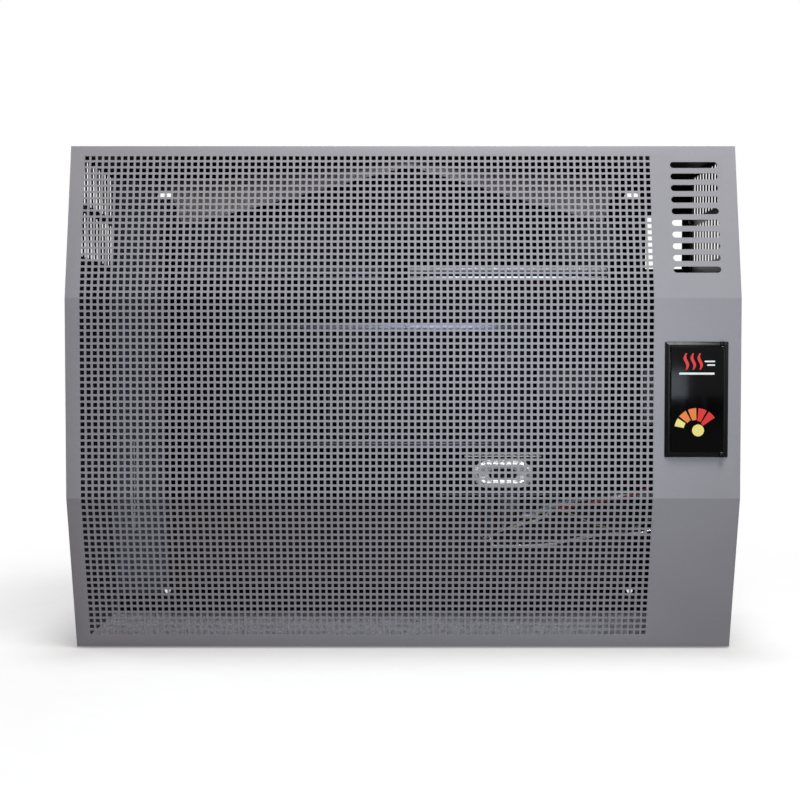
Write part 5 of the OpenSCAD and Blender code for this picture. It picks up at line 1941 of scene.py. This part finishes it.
@dataclass
class Tubing:
    """Gas tubes, leads and the capillary, each along its own smooth route."""

    routes: tuple[Route, ...] = (
        Route(
            "main_gas_pipe", "main_gas_tube", 4.0, BRIGHT_ALUMINIUM, 15.0, (
                (166.0, -77.0, -165.75), (180.0, -77.0, -165.75), (210.0, -69.0, -153.75),
                (260.0, -61.0, -143.75), (317.5, -65.0, -141.75), (347.5, -113.5, -133.75),
                (347.5, -150.0, -109.75), (347.5, -150.0, -82.0), (347.5, -150.0, -68.0),
            ),
        ),
        Route(
            "pilot_gas_pipe", "pilot_tube", 2.0, BRIGHT_TUBE, 9.0, (
                (120.0, -101.0, -187.75), (120.0, -101.0, -194.75), (123.0, -103.0, -201.75),
                (130.0, -106.0, -204.75), (195.0, -120.0, -200.75), (232.0, -140.0, -189.75),
                (277.0, -165.0, -178.75), (302.0, -185.0, -175.75), (330.5, -189.0, -167.75),
                (344.5, -189.0, -139.75), (344.5, -189.0, -80.0), (344.5, -189.0, -68.0),
            ),
        ),
        Route(
            "thermocouple_cable", "thermocouple_lead", 1.0, OLIVE, 8.0, (
                (107.0, -101.0, -183.75), (107.0, -101.0, -189.75), (113.0, -107.0, -193.75),
                (133.0, -113.0, -183.75), (167.0, -123.0, -165.75), (205.0, -140.0, -150.75),
                (240.0, -147.0, -162.75), (266.0, -150.0, -171.75), (307.0, -157.0, -171.75),
                (337.5, -166.0, -143.75), (343.5, -172.0, -82.0), (343.5, -172.0, -68.0),
            ),
        ),
        Route(
            "ignition_cable", "ignition_lead", 2.0, RED_SLEEVE, 0.0, (
                (138.0, -101.0, -175.75), (138.0, -101.0, -177.75), (140.0, -101.0, -180.75),
                (145.0, -102.0, -180.75), (184.0, -109.0, -167.75), (207.0, -130.0, -151.75),
                (256.0, -161.0, -137.75), (303.0, -190.0, -123.75), (330.5, -214.0, -95.75),
                (334.0, -214.0, -64.0), (340.0, -214.0, -46.0), (346.0, -214.0, -42.0),
                (350.0, -214.0, -42.0),
            ),
        ),
        Route(
            "bulb_capillary", "capillary_tube", 0.9, DULL_COPPER, 0.0, (
                (240.0, -12.5, -284.75), (252.0, -12.5, -284.75), (290.0, -17.5, -279.75),
                (320.0, -26.5, -262.75), (347.5, -42.5, -214.75), (349.5, -72.5, -134.75),
                (346.5, -96.0, -56.0), (343.5, -112.0, -40.0), (343.5, -124.0, -40.0),
            ),
        ),
    )
    nut_length: float = 9.0

    def build(self) -> None:
        """Draws every tube and lead, and the union nuts where the tubes enter the valve."""
        nuts = Drawing()
        for route in self.routes:
            drawing = Drawing()
            drawing.tube(smooth_path(route.points), route.radius, 20 if route.radius > 3 else 14)
            add_piece(drawing, route.name, route.finish, [route.node])
            if route.nut:
                x, y, z = route.points[-1]
                nuts.hexagon(route.nut, z - self.nut_length, z, (x, y), Axis.Z)
        add_piece(nuts, "tube_union_nuts", BRASS)


# ---- Gas valve and controls ----


@dataclass
class Controls:
    """Gas valve, knob, igniter and gas inlet behind the door."""

    edge: float = 0.4
    knob_middle: Spot = (362.5, 8.0)
    knob_step: float = 3.0
    flutes: int = 24
    flute: float = 0.55
    grip: Spot = (8.0, 32.0)
    button_crown: float = 2.0
    knob_box: Extent = node_box("control_knob")
    button_box: Extent = node_box("igniter_button")
    body_low: Point = (336.5, -200.0, -62.0)
    body_high: Point = (392.5, -130.0, 48.0)
    boss: Spot = (12.0, 8.0)
    spindle_bore: float = 4.05
    socket: float = 9.9
    bore_end: float = -172.9
    cap: Spot = (7.0, 5.0)
    cap_inset: float = 11.0
    head: Spot = (16.0, 12.0)
    inlet: Spot = (372.0, -165.0)
    inlet_boss: Spot = (16.0, 10.0)
    ports: tuple[Point, ...] = (
        (344.5, -189.0, 4.0), (343.5, -172.0, 4.0), (347.5, -150.0, 7.0),
    )
    port_length: float = 6.0
    cover_screws: tuple[Spot, ...] = (
        (6.0, -8.0), (50.0, -8.0), (50.0, -100.0), (6.0, -100.0), (6.0, -62.0), (50.0, -36.0),
    )
    bulb_port: Point = (343.5, -40.0, 4.0)
    pipe_bore: float = 7.98
    pipe_radius: float = 9.98
    thread_pitch: float = 1.814
    thread_depth: float = 1.1
    thread_length: float = 20.0

    def build(self) -> None:
        """Builds the controls."""
        self._valve()
        dress(ZINC, self.edge, "valve_bracket")
        dress(BRASS, 0.2, "valve_plunger")
        dress(ZINC, 0.2, "valve_spindle")
        self._knob()
        self._marks()
        dress(ZINC, self.edge, "igniter_bracket")
        dress(DARK_PLASTIC, self.edge, "igniter_body")
        self._button()
        self._inlet()
        dress(BRASS, self.edge, "inlet_nut")

    def _valve(self) -> None:
        """Cast body with a bored boss, cover screws, cap, head and ports."""
        low, high = self.body_low, self.body_high
        x, z = self.knob_middle
        drawing = Drawing()
        drawing.bar(low, high, 3.0, Axis.Z)
        radius, length = self.boss
        front = low[1] - length
        bore = self.spindle_bore
        profile = [
            (bore, self.bore_end), (bore, front + 0.4), (bore + 0.4, front),
            (radius - 1.2, front), (radius - 0.3, front + 0.4), (radius, front + 1.2),
            (radius, low[1] - 1.5), (radius + 1.5, low[1] + 0.5), (radius + 1.5, self.bore_end),
        ]
        drawing.turned(profile, (z, x), Axis.Y, 40, closed=True)
        self._fittings(drawing)
        add_piece(drawing, "cast_gas_valve", CAST_ALUMINIUM, ["gas_valve"])

    def _fittings(self, drawing: Drawing) -> None:
        """Adds the small parts of the valve's outside.

        Args:
            drawing: The valve's body.
        """
        low, high = self.body_low, self.body_high
        radius, end = self.cap[0], low[1] - self.cap[1]
        spot = (high[2] - self.cap_inset, low[0] + self.cap_inset)
        dome = [(0, end), (radius - 1.6, end), (radius, end + 1.4), (radius, low[1] + 1)]
        drawing.turned(dome, spot, Axis.Y, 28)
        radius, end = self.head[0], high[2] + self.head[1]
        dome = [(0, end), (radius - 3, end), (radius - 0.6, end - 1.6), (radius, end - 4)]
        spot = (self.knob_middle[0], self.inlet[1])
        drawing.turned([*dome, (radius, high[2] - 1)], spot, Axis.Z, 40)
        radius, length = self.inlet_boss
        foot = low[2] - length
        ring = [(self.pipe_bore, foot), (radius - 1, foot), (radius, foot + 1), (radius, low[2] + 1)]
        drawing.turned([*ring, (self.pipe_bore, low[2] + 1)], self.inlet, Axis.Z, 40, closed=True)
        for x, y, size in self.ports:
            end = low[2] - self.port_length
            stub = [(0, end), (size - 0.6, end), (size, end + 0.6), (size, low[2] + 1)]
            drawing.turned(stub, (x, y), Axis.Z, 24)
        x, z, size = self.bulb_port
        end = high[1] + self.port_length
        stub = [(0, end), (size - 0.6, end), (size, end - 0.6), (size, high[1] - 1)]
        drawing.turned(stub, (z, x), Axis.Y, 24)
        end = low[1] - 1.6
        head = [(0, end), (2.2, end), (3.0, end + 0.6), (3.0, end + 2.1)]
        for across, up in self.cover_screws:
            drawing.turned(head, (high[2] + up, low[0] + across), Axis.Y, 20)

    def _knob(self) -> None:
        """Fluted knob with a raised grip, bored at the back for the spindle."""
        box = self.knob_box
        x, z = self.knob_middle
        front, back, radius = box.low.y, box.high.y, box.size.x / 2
        face = front + self.grip[0] / 2
        shoulder = (front + back) / 2
        stations = [
            (self.spindle_bore, back - self.socket, 0.0), (self.spindle_bore, back - 0.3, 0.0),
            (self.spindle_bore + 0.35, back, 0.0), (radius - 1.0, back, 0.0),
            (radius - 0.3, back - 0.3, 0.0), (radius - 0.1, back - 1.0, 0.0),
            (radius - 0.1, back - 1.6, 1.0), (radius - 0.1, shoulder + 1.2, 1.0),
            (radius - 0.5, shoulder + 0.4, 0.6), (radius - 1.4, shoulder, 0.0),
            (radius - self.knob_step, shoulder - 0.3, 0.0),
            (radius - self.knob_step, face + 1.0, 0.0),
            (radius - self.knob_step - 0.4, face + 0.3, 0.0),
            (radius - self.knob_step - 1.2, face, 0.0), (0.1, face, 0.0),
            (0.1, back - self.socket, 0.0),
        ]
        count = self.flutes * 6
        rings = []
        for reach, y, share in stations:
            ring = []
            for k in range(count):
                turn = 2 * math.pi * k / count
                here = reach - share * self.flute * (0.5 + 0.5 * math.cos(turn * self.flutes))
                ring.append((x + here * math.sin(turn), y, z + here * math.cos(turn)))
            rings.append(ring)
        drawing = Drawing()
        drawing.loft(rings, closed=True)
        wide, high = self.grip
        outline = rounded_rectangle((z, x), (high, wide), wide / 2 - 0.3, 6)
        drawing.prism(outline, front, face + 1.0, Axis.Y, 1.2)
        add_piece(drawing, "thermostat_knob", PALE_PLASTIC, ["control_knob"], Body.KNOB, crease=38.0)

    def _marks(self) -> None:
        """Pointer line on the grip and short dial strokes round the knob's shoulder."""
        box = self.knob_box
        x, z = self.knob_middle
        front = box.low.y
        drawing = Drawing()
        line = rounded_rectangle((z + self.grip[1] / 2 - 6.0, x), (7.0, 1.4), 0.6, 3)
        drawing.prism(line, front - 0.02, front + 0.3, Axis.Y)
        ring = box.size.x / 2 - 1.7 - self.knob_step
        face = front + self.grip[0] / 2
        for i in range(9):
            turn = math.radians(40 + 30 * i)
            length = 2.6 if i % 2 == 0 else 1.6
            spot = rounded_rectangle((0.0, 0.0), (length, 0.7), 0.3, 2)
            sine, cosine, start = math.sin(turn), math.cos(turn), ring - length / 2
            spot = [(start + a, b) for a, b in spot]
            placed = [(z + a * cosine - b * sine, x + a * sine + b * cosine) for a, b in spot]
            drawing.prism(placed, face - 0.03, face + 0.3, Axis.Y)
        add_piece(drawing, "thermostat_marks", DARK_MARK, body=Body.KNOB)

    def _button(self) -> None:
        """Crowned push button with a soft rim."""
        box = self.button_box
        radius, front, back = box.size.x / 2, box.low.y, box.high.y
        profile = [
            (0.0, front + 0.5), (radius * 0.55, front + 0.35), (radius - 1.4, front),
            (radius - 0.5, front + 0.25), (radius, front + self.button_crown * 0.6),
            (radius, back - 0.5), (radius - 0.5, back),
        ]
        drawing = Drawing()
        drawing.turned(profile, (box.middle.z, box.middle.x), Axis.Y, 40)
        add_piece(drawing, "piezo_button", RED_PLASTIC, ["igniter_button"], Body.BUTTON)

    def _inlet(self) -> None:
        """Bored pipe with a cut thread at its foot."""
        box = Extent.of("inlet_pipe")
        radius, plain = box.size.x / 2, self.pipe_radius
        foot, top = box.low.z, box.high.z
        profile = [(self.pipe_bore, foot), (plain - 0.3, foot)]
        z = foot + 0.8
        root = radius - self.thread_depth
        while z < foot + self.thread_length - self.thread_pitch:
            profile += [(root, z), (radius, z + self.thread_pitch / 2)]
            z += self.thread_pitch
        shoulder = foot + self.thread_length + 0.5
        profile += [(root, z), (plain, shoulder), (plain, top), (self.pipe_bore, top)]
        drawing = Drawing()
        drawing.turned(profile, self.inlet, Axis.Z, 48, closed=True)
        add_piece(drawing, "threaded_inlet_pipe", ZINC, ["inlet_pipe"])


# ---- Studio ----


@dataclass(frozen=True)
class Lamp:
    """One soft area lamp that faces the heater."""

    name: str
    spot: Point
    size: Spot
    power: float
    tint: Point = EVEN

    def hang(self) -> None:
        """Adds the lamp to the scene."""
        light = bpy.data.lights.new(self.name, "AREA")
        light.shape, light.size, light.size_y = "RECTANGLE", self.size[0], self.size[1]
        light.energy, light.color = self.power, self.tint
        holder = bpy.data.objects.new(self.name, light)
        holder.visible_camera = False
        holder.location = self.spot
        holder.rotation_euler = (-Vector(self.spot)).to_track_quat("-Z", "Y").to_euler()
        bpy.context.scene.collection.objects.link(holder)


@dataclass
class Studio:
    """Pale floor, soft lamps and the camera."""

    eye: Point = (-0.0039, -1.6672, 0.0401)
    pitch: float = 1.65
    lens: float = 51.51
    sensor: float = 36.0
    floor_gap: float = 0.002
    floor_reach: float = 30.0
    floor_glow: float = 0.58
    painted_shadow_reach: float = 0.13
    footprint: Spot = (0.40, 0.105)
    foot_middle: Spot = (0.0, -0.11)
    ambient: float = 0.05
    lamps: tuple[Lamp, ...] = (
        Lamp("key_lamp", (0.42, -1.2, 2.35), (1.2, 0.8), 72.0, (1.0, 0.99, 0.975)),
        Lamp("front_lamp", (0.2, -0.95, 0.06), (0.5, 0.14), 2.1, (0.76, 0.89, 1.0)),
        Lamp("rear_lamp", (0.4, 2.4, 1.4), (2.2, 1.4), 30.0),
        Lamp("left_lamp", (-2.4, 0.5, 0.9), (1.2, 1.2), 18.0),
        Lamp("right_lamp", (2.4, 0.5, 0.9), (1.2, 1.2), 8.0),
    )

    def build(self) -> None:
        """Builds the whole studio."""
        self._camera()
        self._world()
        self._floor()
        for lamp in self.lamps:
            lamp.hang()
        bpy.context.scene.view_settings.view_transform = "Standard"

    def _camera(self) -> None:
        """Places the camera."""
        camera = bpy.data.cameras.new("camera")
        camera.lens, camera.sensor_width = self.lens, self.sensor
        camera.clip_start, camera.clip_end = 0.05, 60.0
        holder = bpy.data.objects.new("camera", camera)
        holder.location = self.eye
        holder.rotation_euler = (math.radians(90 - self.pitch), 0.0, 0.0)
        bpy.context.scene.collection.objects.link(holder)
        bpy.context.scene.camera = holder

    def _world(self) -> None:
        """White behind the heater and in its gloss, and a soft grey on everything else."""
        world = bpy.data.worlds.new("studio_air")
        bpy.context.scene.world = world
        tree = ShaderTree(world)
        path = tree.node("ShaderNodeLightPath", {}, {})
        camera, gloss, glass = (
            Wire(tree, path.outputs[f"Is {ray} Ray"]) for ray in ("Camera", "Glossy", "Transmission")
        )
        seen = tree.maths("MAXIMUM", tree.maths("MAXIMUM", camera, gloss), glass)
        white, soft = (
            tree.wire("ShaderNodeBackground", {}, {"Color": WHITE, "Strength": strength})
            for strength in (1.0, self.ambient)
        )
        tree.show(tree.blend(seen, soft, white))

    def _floor(self) -> None:
        """Pale floor just under the heater that keeps its shadow, with a painted shadow round the heater's
        foot.
        """
        level = (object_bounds()[0].z - self.floor_gap) / MM
        reach = self.floor_reach / MM
        drawing = Drawing()
        drawing.patch([(*spot, level) for spot in arc((0, 0), reach, 0, 352, 44)], [tuple(range(45))])
        mesh = drawing.mesh("studio_floor")
        tree = ShaderTree.of_material("studio_floor_paint")
        grain = tree.noise(40.0, detail=3.0)
        tone = tree.mix(grain, (0.36, 0.36, 0.36, 1.0), (0.40, 0.40, 0.40, 1.0))
        warm = tree.mix(grain, (0.37, 0.34, 0.33, 1.0), (0.40, 0.37, 0.36, 1.0))
        tree.feed(tree.surface, {"Base Color": warm, "Roughness": 0.9, "Specular IOR Level": 0.0})
        glow = {"Emission Color": WHITE, "Emission Strength": self.floor_glow}
        lit = tree.wire(
            "ShaderNodeBsdfPrincipled",
            {},
            {"Base Color": tone, "Roughness": 0.9, "Specular IOR Level": 0.0, **glow},
        )
        white = tree.wire("ShaderNodeEmission", {}, {"Color": WHITE, "Strength": 1.0})
        away = tree.wire("ShaderNodeVectorMath", {"operation": "LENGTH"}, {0: tree.place()}, "Value")
        paint = tree.shader(tree.surface)
        # Painted shadow: near the heater's foot the floor loses its glow.
        near = tree.blend(self._painted_shadow(tree), paint, lit)
        far = tree.blend(away.ramp(0.6, 1.1), near, white)
        seen = tree.wire("ShaderNodeLightPath", {}, {}, "Is Camera Ray")
        tree.show(tree.blend(seen, paint, far))
        mesh.materials.append(tree.owner)
        floor = bpy.data.objects.new("studio_floor", mesh)
        bpy.context.scene.collection.objects.link(floor)
        floor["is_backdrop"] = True

    def _painted_shadow(self, tree: ShaderTree) -> Wire:
        """Painted shadow round the heater's foot: the share of the floor's glow that is kept there.

        Args:
            tree: The floor's shader.

        Returns:
            The share, 1 away from the heater.
        """
        outside = []
        for axis, reach, middle in zip((Axis.X, Axis.Y), self.footprint, self.foot_middle):
            along = tree.coordinate(axis) * MM - middle
            outside.append(tree.maths("MAXIMUM", tree.maths("ABSOLUTE", along, 0.0) - reach, 0.0))
        distance = (outside[0] * outside[0] + outside[1] * outside[1]) ** 0.5
        return distance.ramp(-self.painted_shadow_reach, self.painted_shadow_reach) * 0.9 + 0.1


def corners(bounds: tuple[Vector, Vector]) -> list[list[float]]:
    """Bounds as plain lists."""
    return [list(corner) for corner in bounds]


def main() -> None:
    """Builds the heater's looks and the studio."""
    logging.basicConfig(level=logging.INFO, format="%(name)s: %(message)s")
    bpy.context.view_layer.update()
    Studio().build()
    parts = (
        Casing(), AccessDoor(), WallFrame(), HeatExchanger(), SightWindow(),
        Flue(), Deflector(), Burner(), Tubing(), Controls(),
    )
    for part in parts:
        part.build()
        LOG.info("built %s", type(part).__name__)


if __name__ == "__main__":
    main()
